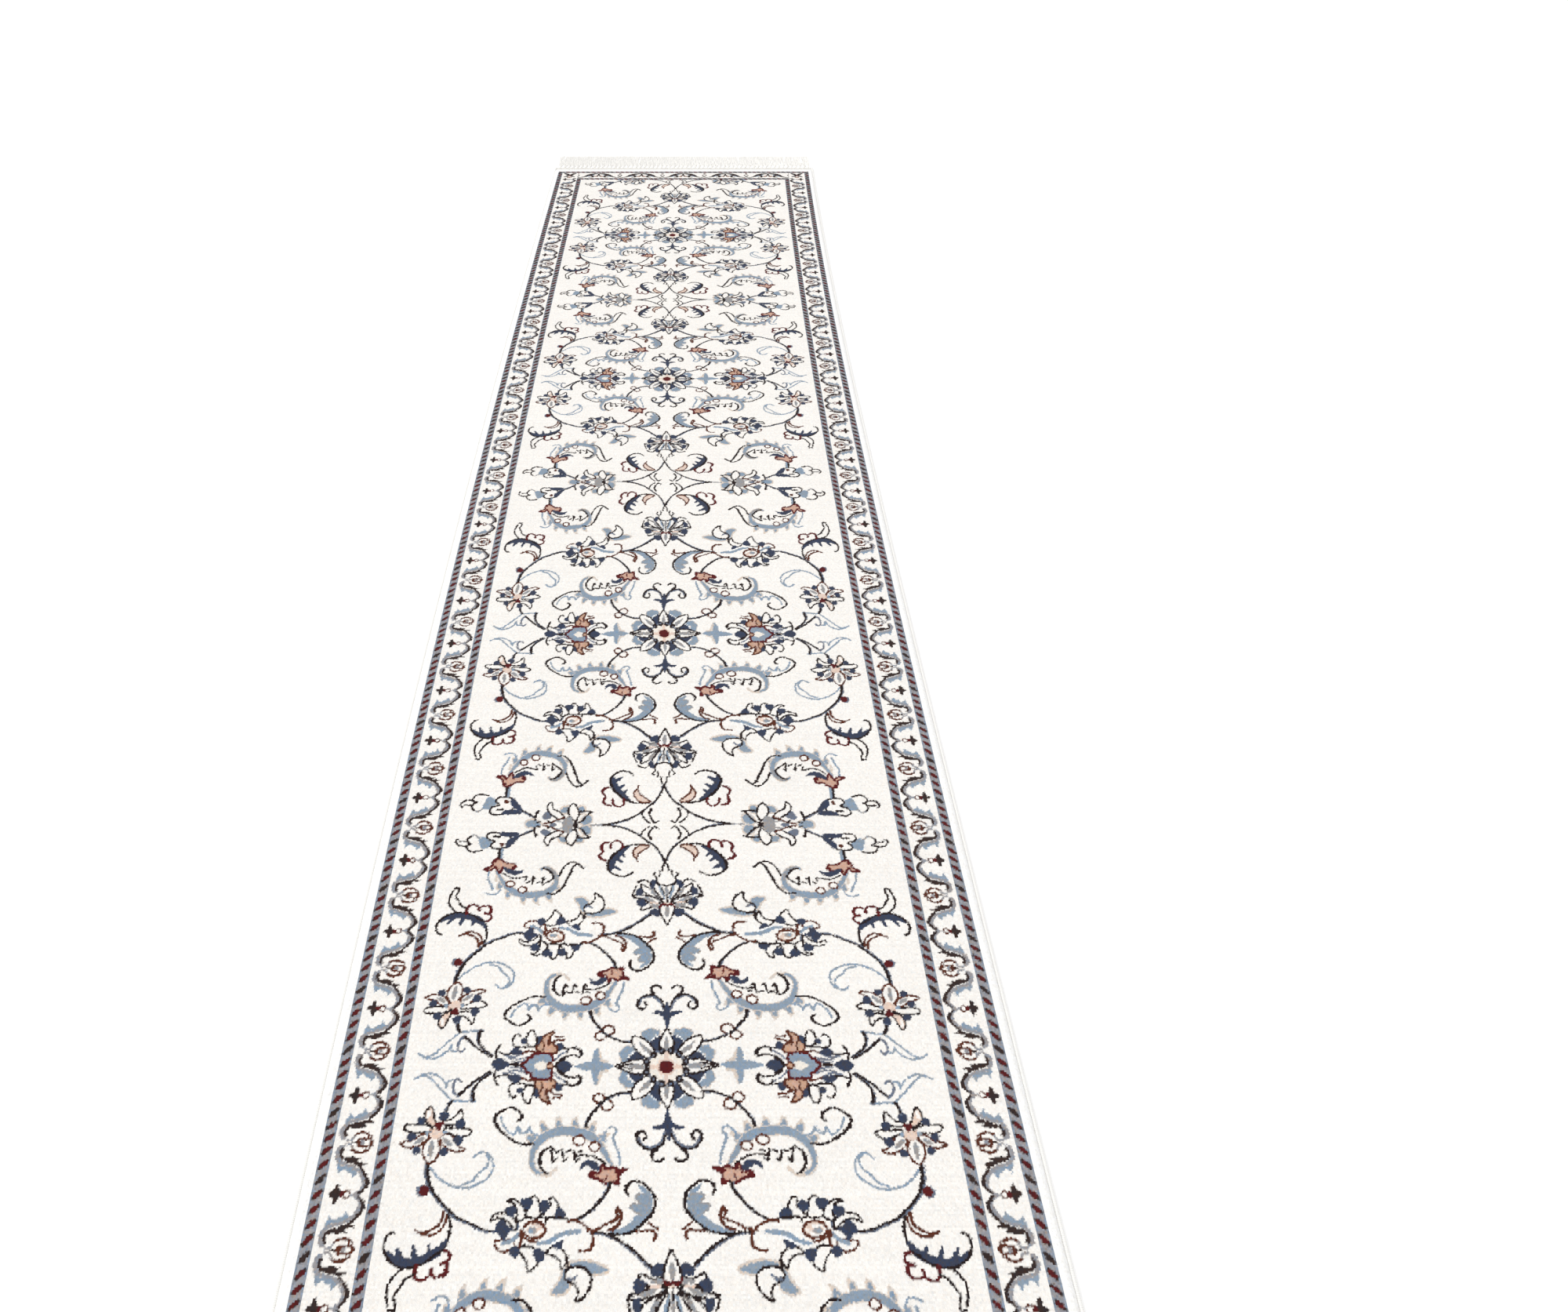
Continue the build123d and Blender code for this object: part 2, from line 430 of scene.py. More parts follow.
def inner_crown(draw):
    """The terracotta crown flower on top of the inner leaf, with its navy leaf and its pale sheath."""
    draw.lines("sky", [
        ([(49, 99), (50.5, 90), (53.5, 82), (56.5, 74), (56, 71)], [2, 2, 3]),
        ([(54, 70), (53.5, 65.5), (58, 63), (63, 66), (66, 70), (65, 78)], 1.6),
    ])
    crown = [
        (50, 118), (56, 116), (62, 117.5), (70, 113.5), (79, 111), (77, 106.5), (70, 107.5), (67, 100),
        (62, 104), (56, 101.5), (50, 104), (42.5, 103), (50, 109),
    ]
    draw.patch("terracotta", crown, "burgundy", 2.4)
    draw.dots("burgundy", [(51, 115), (52, 106), (46, 104), (64, 103), (76, 110)], 2.2, 2.0)
    draw.line("burgundy", [(63, 114), (62, 109)], 1.2)
    draw.fill("navy", [(69, 104), (75, 105), (82, 100.5), (89, 105), (87, 97.5), (80, 95.5), (73, 97)])
    draw.vine([(90, 149.5), (81, 145), (73, 138.5), (66, 131), (60, 123), (58, 117)], [2.2, 2.8, 3.4])


def small_palmette(draw):
    """The rounded flower with a ringed heart, beside the axis palmette."""
    draw.line("slate", [(120, 147), (130, 147.5), (141, 147.5), (147, 151), (149, 160)], 1.8)
    draw.petals(
        "ivory", "charcoal",
        (
            [(120, 179), (113, 181), (107, 185), (104.5, 192), (101, 188), (100, 182), (104, 176.5),
             (112, 172)],
            [(126, 182), (129, 190), (136, 195), (138, 188), (142, 181.5), (147, 176), (140, 173),
             (132, 175)],
            [(151, 160), (158, 153), (167, 150), (175, 153), (173, 147.5), (164, 145), (155, 148),
             (150, 153)],
            [(149, 152), (150, 143), (154, 136), (160, 135), (154, 132.5), (146, 137), (142, 142),
             (141, 148)],
            [(140, 148), (140, 140), (138, 132), (133, 129.5), (129, 133), (127.5, 141), (127, 148)],
            [(126, 148), (121, 142), (117, 137), (118, 131), (114, 130.5), (110, 136), (109, 145),
             (116, 148)],
        ),
        1.6,
    )
    draw.petals(
        "ivory", "rust",
        ([(152, 176), (160, 179), (167, 176.5), (170, 170), (161, 169), (152, 169)],),
        1.6,
    )
    draw.petals(
        "navy", None,
        (
            [(121, 178), (123, 185), (129, 186), (133, 177), (127, 175)],
            [(145, 179), (149, 183.5), (155, 181), (154, 175), (147, 174)],
            [(103, 168), (106, 175), (111, 175.5), (116, 169), (110, 165.5)],
            [(101, 145), (104, 150), (113, 149), (112, 142), (106, 139.5)],
            [(118, 138), (122, 143), (127.5, 141), (127, 134), (121, 133)],
            [(134, 135), (139, 141.5), (146, 137), (145, 132), (137, 131.5)],
            [(150, 144), (154, 149), (161, 144), (159, 139), (151, 139.5)],
            [(152, 160), (157, 163), (161, 170.5), (166, 165), (171, 161.5), (168, 154), (163, 151),
             (158, 156)],
        ),
    )
    draw.line("sky", [(88, 160.5), (98, 161.5), (108, 164), (117, 169), (128, 171)], [3, 4.4, 5, 4, 2])
    draw.line("white", [(100, 164.5), (108, 167.5), (116, 172)], 1.4)
    draw.line("sky", [(148, 164), (154, 169), (162, 172)], 3.2)
    draw.ring("rust", 132, 159, 12, 8.8, "blush", 3)
    draw.line("ivory", [(124, 159), (130, 163.5), (138, 163), (141, 159), (136, 155.5), (130, 156.5)], 1.4)
    draw.dot("grey", 134.5, 160, 4.6, 2.8)
    draw.dot("sky", 135.5, 160.4, 2.6, 1.6)
    draw.lines("rust", [
        ([(145, 161), (144, 167.5), (146, 174)], [3.6, 2.6, 2]),
        ([(129, 169), (136, 169), (142, 166), (147, 165)], 1.6),
        ([(88, 177), (81, 177), (75.5, 173.5), (74.5, 166), (77, 160), (84, 154.5), (92, 151), (99, 151)],
         [1.6, 2, 3, 1.8, 1.8, 2.4, 3.2]),
    ])
    draw.line("charcoal", [(99, 149), (108, 148.5), (119, 148), (121, 152)], 1.6)


def oval_vine(draw):
    """The long stem round the side rosette, with its berry."""
    draw.vine(
        [(170, 161), (177, 161), (186, 158.5), (196, 154), (206, 150), (213, 145), (221, 138), (229, 130),
         (235, 122), (238.5, 114), (240.5, 106), (241, 97)],
        [1.8, 2, 2.2, 2.4, 3, 4, 4],
    )
    draw.dot("slate", 244, 124, 5.6, 5.6)
    draw.dot("burgundy", 242, 123.5, 4.8, 5.2)
    draw.vine(
        [(18, 190), (25, 184.5), (33, 177.5), (42, 171.5), (50, 167), (58, 163.5), (66, 161.5), (76, 161)],
        [3, 2.6, 2.2, 2],
    )


def curled_pair(draw):
    """Two pale blue leaves and the dark curl between them, above the small palmette."""
    draw.patch(
        "sky",
        [(96, 188), (103, 195), (106, 203), (112, 211), (104, 212.5), (97, 208), (97, 200)],
        halo="beige",
    )
    draw.patch(
        "sky",
        [(61, 192.5), (70, 196), (81, 195), (91, 191), (97, 188.5), (88, 186), (74, 187.5)],
        halo="beige",
    )
    draw.patch(
        "ivory",
        [(89, 219), (81, 214), (76.5, 207), (76, 199), (80, 193.5), (88, 190.5), (97, 191), (100.5, 196),
         (99, 201.5), (92, 205), (88, 211)],
        "charcoal", 2,
    )
    draw.line("slate", [(90, 198), (94, 201), (98, 200)], 1.8)
    draw.line("charcoal", [(99, 190), (99, 184), (101, 180)], 2)


def paisley(draw):
    """The curled leaf that hangs beside the axis, with rust tendrils."""
    draw.line(
        "sky",
        [(57, 160.5), (46, 159.5), (37, 156), (29, 149), (22.5, 141), (20, 133), (22, 125), (29, 119)],
        [3, 6, 9, 10, 8, 7, 5, 2.5],
    )
    teeth(draw, [(27, 140, 37, 137), (24, 131, 31, 127)], "sky", "grey")
    draw.line(
        "charcoal",
        [(60, 162.5), (50, 162.5), (40, 161), (32, 157), (26, 152), (19.5, 145.5), (15, 139), (14, 132),
         (16, 125.5), (21, 119.5), (28, 115), (36, 114.5), (41, 118), (42.5, 123), (40.5, 127)],
        [2, 2, 2, 2.6, 3, 2, 2, 3, 2],
    )
    draw.lines("rust", [
        ([(60, 159.5), (53, 157), (48.5, 152), (47, 146), (50, 139), (52, 143), (50.5, 148), (55, 151),
          (62, 154), (70, 158), (80, 159.5)], [1.8, 3, 2.6, 1.8, 1.8]),
        ([(11.5, 157), (16, 154.5), (21, 151)], 1.8),
        ([(15, 165), (14.5, 160), (18, 158), (24, 158)], [3.6, 2.2, 2]),
        ([(26, 158.5), (32, 159.5)], 1.8),
    ])


def side_rosette(draw):
    """The open flower near the field's edge."""
    draw.petals(
        "ivory", "rust",
        (
            [(238, 70), (233, 79), (231, 86), (233, 93), (238.5, 98), (244, 95), (248, 87), (247, 80),
             (241, 72)],
            [(206, 86), (212, 88.5), (222, 86), (231, 79), (231, 72), (224, 70.5), (219, 75), (214, 82.5)],
            [(271, 80), (263, 83), (254, 82), (247, 77.5), (244, 71), (253, 71), (259, 76), (266, 77)],
        ),
        1.6,
    )
    draw.petals(
        "ivory", "charcoal",
        (
            [(202, 69), (206, 73), (214, 74), (222, 71), (229, 68), (229, 65), (220, 65.5), (208, 66)],
            [(215, 47), (213, 53), (215, 59), (222, 62), (231, 61), (232, 57.5), (224, 56), (218.5, 51)],
            [(268, 61), (268.5, 66), (259, 68.5), (248, 68), (240, 65.5), (248, 61), (258, 60.5)],
        ),
        1.6,
    )
    draw.petals(
        "blush", "charcoal",
        ([(247, 42.5), (251.5, 48), (250, 56), (243, 62), (237, 62), (241, 55), (243, 48)],),
        1.6,
    )
    draw.line("ivory", [(247, 47), (248, 53)], 2.6)
    draw.dots("navy", [(227, 88), (254, 85.5), (261, 72.5), (254, 57)], 4.4, 4.0)
    draw.dots("navy", [(214, 77.5), (214, 61.5), (232, 52.5)], 5.0, 4.8)
    draw.lines("grey", [
        ([(239.5, 92), (240, 79)], [2.6, 5, 3.6]),
        ([(220, 82), (228, 76)], [1.6, 4.4, 3.6]),
        ([(257, 79), (250, 75)], [1.6, 4.4, 3.6]),
    ])
    draw.line("terracotta", [(233, 73), (240, 72), (243, 66)], 2)
    draw.dot("blush", 236.5, 70, 6.4, 5.4)
    draw.dots("sky", [(228.5, 69), (246, 69)], 2.2, 2.6)
    draw.fill("burgundy", [(235, 67.5), (238.5, 64), (240.5, 60), (236, 58.5), (231, 59), (232.5, 63.5)])
    draw.vine([(230, 47), (229, 42), (226, 37.5)], 3.2)


def open_leaf(draw):
    """The C-shaped leaf inside the oval stem, only outlined."""
    draw.lines("sky", [
        ([(238, 103), (233, 109), (225, 115.5), (215, 120.5), (205, 122.5), (195, 121.5), (185, 117),
          (178, 110.5), (176.5, 102), (178.5, 95.5), (183, 91), (190, 89.5), (196, 94)], 1.8),
        ([(206, 120), (196, 116.5), (190, 109.5), (183, 104), (181, 97), (184, 92.5)], 1.8),
    ])


def bird_leaf(draw):
    """The thin winged leaf at the field's edge, and the double stem beside it."""
    draw.lines("sky", [
        ([(202, 39), (211, 38.5), (221, 37.5), (226, 38)], 1.8),
        ([(226, 38), (233, 31), (241, 23.5), (249, 15.5), (255, 11), (262, 10.5), (268, 13.5)], 1.8),
        ([(234, 23), (238, 15.5), (245, 10.5), (253, 8), (262, 9.5)], 1.8),
    ])
    draw.line("slate", [(219, 18), (222, 15), (226, 16.5), (227, 23), (225, 29), (221, 32)], [1.8, 2, 3])
    draw.line("sky", [(228, 15.5), (233, 17), (234, 23)], 1.8)
    draw.vine([(188, 9), (195, 14), (202, 21), (205.5, 29), (204, 38)], [2, 2.4, 3, 4])
    draw.vine([(190, 8), (199, 13.5), (207, 19.5), (214, 26), (220, 31.5)], [2, 2.6, 3])


def corner_leaf(draw):
    """The navy crescent with its burgundy cloud, a pale leaf and a rust fern."""
    draw.line("charcoal", [(217, 146), (214, 153), (213.5, 161), (215, 170), (218, 176)], 2.4)
    draw.line(
        "navy",
        [(216, 169), (222, 177), (231, 182.5), (243, 186), (254, 186), (263, 183), (269, 177)],
        [3, 8, 8, 8.5, 7, 2],
    )
    draw.line(
        "charcoal",
        [(218, 177), (226, 181.5), (232, 186), (243, 190), (255, 190), (264, 186), (270, 180), (273.5, 173),
         (273, 166), (270, 161.5), (266, 160.5)],
        [2, 1.8, 1.8, 2, 2.6, 2.4, 1.8],
    )
    draw.lines("navy", [
        ([(230, 180), (232, 172)], [5, 1.6]),
        ([(243, 183), (246, 173)], [6, 2]),
        ([(256, 183), (261, 174)], [6, 2]),
    ])
    draw.lines("burgundy", [
        ([(216, 177.5), (211.5, 180), (210.5, 184.5), (213.5, 187), (218.5, 188.5)], 2.6),
        ([(213, 188), (211.5, 193), (214.5, 198), (222, 199), (226.5, 196), (226, 193)],
         [3.6, 3.6, 2.2, 2.2, 3.6]),
        ([(227.5, 198.5), (233, 201), (238.5, 199.5), (240.5, 194), (240, 189)], [2.2, 2.2, 3.6, 3.6]),
    ])
    draw.lines("charcoal", [
        ([(241, 196), (248, 200), (253, 208), (256, 214), (253.5, 220), (254, 225), (259, 224.5)],
         [2, 2, 2, 2.4]),
        ([(252, 190.5), (259, 197), (263, 205), (262.5, 213), (260, 221)], 2),
    ])
    draw.lines("rust", [
        ([(218, 147), (219, 154), (223, 160), (230, 163.5), (239, 163)], 1.8),
        ([(221.5, 144), (222, 150), (226, 156), (233, 159.5), (240, 161), (246, 158.5)],
         [3.4, 2.4, 1.8, 1.8]),
    ])


def axis_palmette(draw):
    """The lotus on the rug's middle line."""
    draw.petals(
        "ivory", "charcoal",
        (
            [(8, 198), (18, 199), (29, 195), (31, 199.5), (27, 204), (14, 205), (6, 203)],
            [(8, 206), (20, 206), (32, 211), (41, 213), (36, 216.5), (26, 215), (14, 212)],
            [(8, 209), (18, 214), (28, 221), (31, 231), (24, 228), (14, 221), (8, 214)],
            [(5, 210), (11, 218), (17, 230), (15, 236), (9, 230), (4, 220)],
        ),
        1.8,
    )
    draw.fill("navy", [(9, 196), (19, 196), (20, 191), (13, 185), (8, 188)])
    draw.fill("navy", [(24, 203), (31, 211), (37, 207), (33, 199)])
    draw.fill("navy", [(29, 216), (31, 227), (37, 223), (36, 216)])
    draw.fill("navy", [(11, 238), (18, 237), (21, 230), (16, 226)])
    draw.lines("charcoal", [
        ([(19, 232), (24, 237.5), (30, 237), (35, 234)], 1.8),
        ([(37, 229), (40, 222), (42, 214)], 1.6),
    ])
    for vein in (
        [(0, 215), (0, 229)],
        [(8, 208), (16, 219), (20, 226)],
        [(11, 203), (22, 210.5), (30, 212)],
        [(10, 200), (20, 201.5)],
    ):
        draw.line("grey", vein, [2.4, 4, 2])
    draw.line("sky", [(3, 212), (7, 222), (8, 229)], [1.8, 2.4])
    draw.line("blush", [(12, 205), (20, 205.5)], 2)
    draw.lines("charcoal", [
        ([(0, 205), (0, 216)], 1.8),
        ([(4, 205), (9, 210), (14, 215)], 1.8),
    ])
    draw.line("blush", [(-4, 203), (4, 203)], 3.6)
    draw.patch("ivory", both_sides([(0, 174), (3, 180), (7, 189), (8, 200), (0, 202)]), "charcoal", 1.8)
    draw.line("grey", [(0, 198), (0, 187)], [4, 5.4, 3])
    draw.line("burgundy", [(8.5, 199), (5, 203.5), (0, 201)], 2.2)
    draw.lines("charcoal", [
        ([(0, 229.5), (7, 231), (11.5, 236), (11.5, 242), (15, 246), (13, 249)], 1.8),
        ([(8.5, 243), (7, 248), (8, 252)], 1.8),
        ([(4, 252), (3.5, 257), (2, 262)], 1.8),
        ([(0, 264), (0, 268)], 3),
    ])


def crossing(draw):
    """The stems that part from the middle line and meet again at the cell's edge, and their small leaves."""
    draw.vine(
        [(1, 266), (3, 273), (7, 281), (12, 288.5), (20, 295), (28, 302.5), (36, 308.5), (44, 313),
         (53, 317), (63, 319.5), (73, 321.5), (82, 322.5)],
        2.4,
    )
    draw.line("grey", [(82, 322.5), (96, 322.5)], 1.8)
    draw.lines("charcoal", [
        ([(29, 304), (28.5, 310), (24, 316), (19, 320)], 1.8),
        ([(17, 300), (20, 307), (17, 314), (13, 319.5), (8.5, 317)], [3, 2, 2]),
    ])


def cloud_leaf(draw):
    """The navy crescent beside the crossing, with its burgundy cloud and rust leaf."""
    draw.lines("navy", [
        ([(46, 287), (56, 279.5), (64, 270), (69, 260), (69, 252)], [3, 8, 9, 8, 3]),
        ([(56, 278), (50, 272)], [5, 1.6]),
        ([(62, 270), (54, 264.5)], [6, 2.4]),
        ([(66, 258), (57, 253)], [6, 2]),
    ])
    draw.line(
        "charcoal",
        [(20, 290.5), (31, 291.5), (42, 290.5), (51, 287), (59, 281), (67, 273), (72, 264), (73, 256),
         (69.5, 249.5), (63, 245), (55, 243), (47, 244.5), (41, 249)],
        [1.8, 2, 2.6, 3, 3, 2.6, 2, 1.8],
    )
    draw.patch(
        "blush",
        [(19, 289), (28, 290.5), (36, 286.5), (40.5, 278), (36, 270), (33, 277), (26, 283)],
        "rust", 1.8,
    )
    draw.line("rust", [(36, 271), (34.5, 266)], 2)
    draw.lines("burgundy", [
        ([(54, 286), (53.5, 292), (58, 296.5), (64, 296), (68, 292), (69, 286.5)], [3.6, 2.2, 2.2, 3.6]),
        ([(71, 295), (77, 294), (81, 288.5), (79, 281)], [2.2, 2.4, 4, 2.2]),
        ([(80, 279.5), (83.5, 274), (80, 269), (75, 267)], [2.2, 4, 2.2]),
    ])


def grey_palmette(draw):
    """The flower on the crossing line with a solid grey heart."""
    draw.patch("sky", [(96, 318), (104, 322), (109, 317), (103, 308), (96, 310)], halo="beige")
    draw.patch("sky", [(106, 303.5), (113, 305), (112.5, 296), (106, 296.5)], halo="beige")
    draw.patch("sky", [(127, 304), (136, 303.5), (134.5, 297), (127, 296)], halo="beige")
    draw.fill("slate", [(147, 311), (156, 315.5), (161, 311), (155, 303.5), (149, 306)])
    draw.lines("charcoal", [
        ([(113, 319), (107, 316), (102, 309), (97, 303)], 2),
        ([(95, 304), (104, 302), (111, 303)], 1.8),
    ])
    draw.patch(
        "ivory",
        [(116, 316), (112.5, 306), (116, 296), (120.5, 291), (126, 296), (126.5, 305), (122, 312)],
        "charcoal", 2,
    )
    draw.line("charcoal", [(98, 326), (106, 327.5), (113, 325)], 1.8)
    draw.patch(
        "ivory",
        [(131, 312), (138, 304), (147, 299), (150, 289.5), (155, 295), (154, 302), (148, 308), (138, 314)],
        "charcoal", 1.8,
    )
    draw.line("rust", [(132, 311), (140, 315), (150, 319.5), (163, 322)], 1.8)
    draw.line("charcoal", [(141, 327), (147, 321), (152, 317)], 1.8)
    draw.dot("slate", 145, 322.5, 5, 3)
    draw.patch("sky", [(161, 322.5), (168, 328), (179, 326), (179, 319), (168, 317)], halo="beige")
    draw.line("charcoal", [(162, 318.5), (166, 320)], 1.8)
    draw.fill(
        "grey",
        [(119, 322.5), (119.5, 316), (123, 310), (130, 312), (133, 318), (133, 327), (130, 333),
         (119.5, 329)],
    )
    draw.line("grey", [(133, 318), (141, 317)], 1.8)
    draw.dot("charcoal", 116, 322.5, 3.6, 4.6)
    draw.line("charcoal", [(114, 313), (116, 318)], 1.8)
    draw.vine([(169, 313), (176, 309), (183, 305), (191, 302)], 2)
    draw.line("charcoal", [(168.5, 317), (169, 311), (166.5, 304)], [2, 2.4, 3.4])


def tulip(draw):
    """The drooping flower in profile near the field's edge."""
    draw.patch("sky", [(221, 292), (229, 300.5), (239, 300), (237, 290), (233, 283), (225, 286)])
    draw.line("grey", [(238, 300), (244, 304.5), (249, 303)], 1.8)
    draw.lines("charcoal", [
        ([(249, 303), (252.5, 298), (251, 293), (247, 291)], 2),
        ([(234, 281), (238, 280), (245, 279), (251, 282), (253, 288), (248, 291)], 2),
        ([(253, 295), (262, 295)], 1.8),
        ([(254, 288), (261, 288), (266, 291.5), (267, 296), (264.5, 298.5)], 2),
    ])
    draw.patch(
        "ivory",
        [(197, 290), (206, 284.5), (218, 283.5), (223, 289), (218, 295), (226, 298), (229, 304),
         (224, 308.5), (210, 308), (200, 302)],
        "charcoal", 2,
    )
    draw.fill("navy", [(188, 308), (200, 309), (213, 308.5), (210, 303), (200, 301.5), (192, 303)])
    draw.fill("navy", [(187, 303), (194, 302), (201, 297), (204.5, 290), (202, 285), (196, 289), (190, 297)])
    draw.dot("rust", 209, 290, 3, 3)
    draw.line("charcoal", [(212, 302), (220, 302)], 2.6)
    draw.line("sky", [(208, 282), (208, 267)], 3)
    draw.line("charcoal", [(211, 282), (211.5, 275), (211, 266)], 3)


def outer_leaf(draw):
    """The long serrated leaf under the outer crown flower."""
    teeth(
        draw,
        [(203, 231, 207, 222), (193, 222, 193, 207), (176, 216, 173, 201), (162, 216, 156, 201),
         (147, 220, 140, 206), (139, 229, 131, 225)],
    )
    back = [
        (212, 249), (207, 240), (201, 231), (193, 222.5), (183, 217), (171, 215), (158, 216.5), (147, 220.5),
        (139.5, 228), (137, 237), (139, 247), (145, 254), (152, 256.5), (158, 253),
    ]
    draw.band("sky", back, [2.4, 4, 7, 8, 8, 7, 5, 4, 3, 2], "beige")
    draw.line("grey", [(137, 239), (139.5, 248), (146, 255), (153, 256.5)], [2, 2.6, 2])
    draw.line(
        "charcoal",
        [(155, 254.5), (149, 253), (144, 248), (141, 242), (145, 237), (150, 233.5), (154, 230)],
        [2, 2.6, 2, 1.6],
    )
    for x in (154, 166):
        draw.line("charcoal", [(x - 2.5, 239), (x + 0.5, 241.5), (x, 236), (x + 1, 231)], [1.4, 2.4, 1.6])
        draw.line("charcoal", [(x + 4, 234.5), (x + 8, 232.5)], 1.6)
    draw.line("charcoal", [(176, 236), (175, 241), (184, 239), (192, 239), (199, 242.5), (204, 246)], 1.6)
    draw.ring("rust", 193.5, 230, 6.2, 5.4, "ivory", 2.2)
    draw.ring("rust", 178, 222, 6.2, 5.4, "ivory", 2.2)
    draw.lines("charcoal", [
        ([(148, 218.5), (139, 218), (132, 223.5), (127.5, 231), (124, 241), (120, 250), (117, 258),
          (112, 263)], [1.6, 1.8, 2.8, 2.8, 2.8, 1.8]),
        ([(104, 256.5), (110, 262), (116, 265.5), (122, 264), (128, 258.5), (132, 251), (134, 245)],
         [2.6, 1.8, 1.8, 2.6]),
    ])


def outer_crown(draw):
    """The crown flower above the outer leaf."""
    draw.lines("sky", [
        ([(222, 249), (221.5, 239), (217.5, 231), (214, 222)], [1.6, 2, 2.6]),
        ([(206, 230), (205, 222), (208.5, 216), (215, 215), (221, 217.5)], 1.6),
    ])
    draw.line("beige", [(212, 241), (211, 234)], 3)
    crown = [
        (208, 266), (215, 267.5), (218.5, 262), (219, 257), (228, 252), (219, 251), (214, 255), (208, 246),
        (205, 254), (198, 252), (190, 253), (191, 260), (200, 261),
    ]
    draw.patch("terracotta", crown, "burgundy", 2.2)
    draw.dots("burgundy", [(215, 264), (205, 254), (215, 256), (224, 252), (192, 255)], 2.2, 2.0)
    draw.fill(
        "navy",
        [(178, 251), (186, 249.5), (193, 251), (203, 255), (205, 252), (199, 246), (191, 243), (184, 245)],
    )


HALF_REPEAT = 322.5
STARS_AND_CROSSINGS = (-1440.0, -1108.5, -787.5, -425.5, -21.5, 346.5, 702.5, 1063.5, 1440.0)
MIDDLE_DRIFT = 12.5
MIDDLE_DRIFT_GROWS = 0.0055
BROADEST_AT = 1400.0
FIELD_BROADENS = 0.2
FIELD_MOTIFS = (
    fleur, berry_vine, inner_leaf, inner_crown, oval_vine, paisley, curled_pair, small_palmette,
    open_leaf, bird_leaf, side_rosette, corner_leaf, crossing, cloud_leaf, grey_palmette, tulip,
    outer_leaf, outer_crown, axis_palmette, side_palmette, trunk, star,
)


def far_share(y):
    """0 on the near half, growing to 1 at the far end, where the weaver drew every line broader."""
    return np.clip(y / BROADEST_AT, 0, 1)


def field_yarn(x, y):
    """The yarn of each knot of the field. The hand wanders a little, so no two quarters are quite alike."""
    drift = (MIDDLE_DRIFT + MIDDLE_DRIFT_GROWS * y) * np.exp(-((x / 130) ** 2))
    wandered_x = x + drift + 1.0 * np.sin(y / 61 + 1) + 0.7 * np.sin(y / 23 + x / 90)
    wandered_y = y + 1.1 * np.sin(x / 47 + y / 300) + 0.6 * np.sin(x / 19 + 2)
    turns = np.arange(len(STARS_AND_CROSSINGS)) % 2 == 0
    row = np.interp(wandered_y, STARS_AND_CROSSINGS, np.where(turns, HALF_REPEAT, 0))
    draw = Cartoon(np.abs(wandered_x), row, "ivory", FIELD_BROADENS * far_share(y))
    for motif in FIELD_MOTIFS:
        motif(draw)
    return draw.yarn.reshape(x.shape)


def plain_yarn(x, y):
    return np.full(x.shape, YARN_NUMBER["white"])


# ---- Field pile ----
# The ground of the rug: ivory wool knots, cut level, with the whole flowering pattern tied in among
# them. Each knot is drawn here at its own place and in its own yarn.
KNOT_WIDTH = 0.0020
KNOT_LENGTH = 0.0021
ENDS_SWING = 0.019
FAR_END_SWING = 0.0045
MIDDLE_SWINGS_LEFT = 0.0075
UNEVEN_WIDTH = 0.0105
HALF_LENGTH = 1.5
SMALLEST_GAP = 0.001
PILE_UNEVENNESS = 0.00022
BRIGHTEST_WOOL = 0.97
YARN_UNEVENNESS = 0.035
ROW_UNEVENNESS = 0.012
TINT_UNEVENNESS = 0.09
TUFT_SPREAD = 0.55
KNOT_SLIP = 0.38
chance = np.random.default_rng(7)


def swing(y):
    """How far the rug, which lies slightly bowed, has swung to the right at each place along it."""
    share = y / HALF_LENGTH
    return ENDS_SWING * share**2 + FAR_END_SWING * share - MIDDLE_SWINGS_LEFT


def stretch(y):
    """How much wider than its middle the loom tension has left the rug at each place along it."""
    return 1 - UNEVEN_WIDTH * np.sin((y / HALF_LENGTH) * 2.25 - 0.08)


def swung_box(*nodes):
    """The room of one or more CAD nodes, closed up to the fold line."""
    lows, highs = zip(*(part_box(node) for node in nodes))
    low = np.min(lows, axis=0)
    high = np.max(highs, axis=0)
    low[np.abs(low) < SMALLEST_GAP] = 0
    high[np.abs(high) < SMALLEST_GAP] = 0
    return low, high


def read_points(mesh):
    points = np.empty(len(mesh.vertices) * 3)
    mesh.vertices.foreach_get("co", points)
    return points.reshape(-1, 3)


def write_points(mesh, points):
    mesh.vertices.foreach_set("co", points.ravel())
    mesh.update()


def finished(name, shape, material):
    """Makes a shape a named object with its finish, bowed as the rug lies."""
    mesh = bpy.data.meshes.new(name)
    shape.to_mesh(mesh)
    shape.free()
    points = read_points(mesh)
    points[:, 0] = points[:, 0] * stretch(points[:, 1]) + swing(points[:, 1])
    write_points(mesh, points)
    mesh.materials.append(material)
    piece = bpy.data.objects.new(name, mesh)
    scene.collection.objects.link(piece)
    return piece


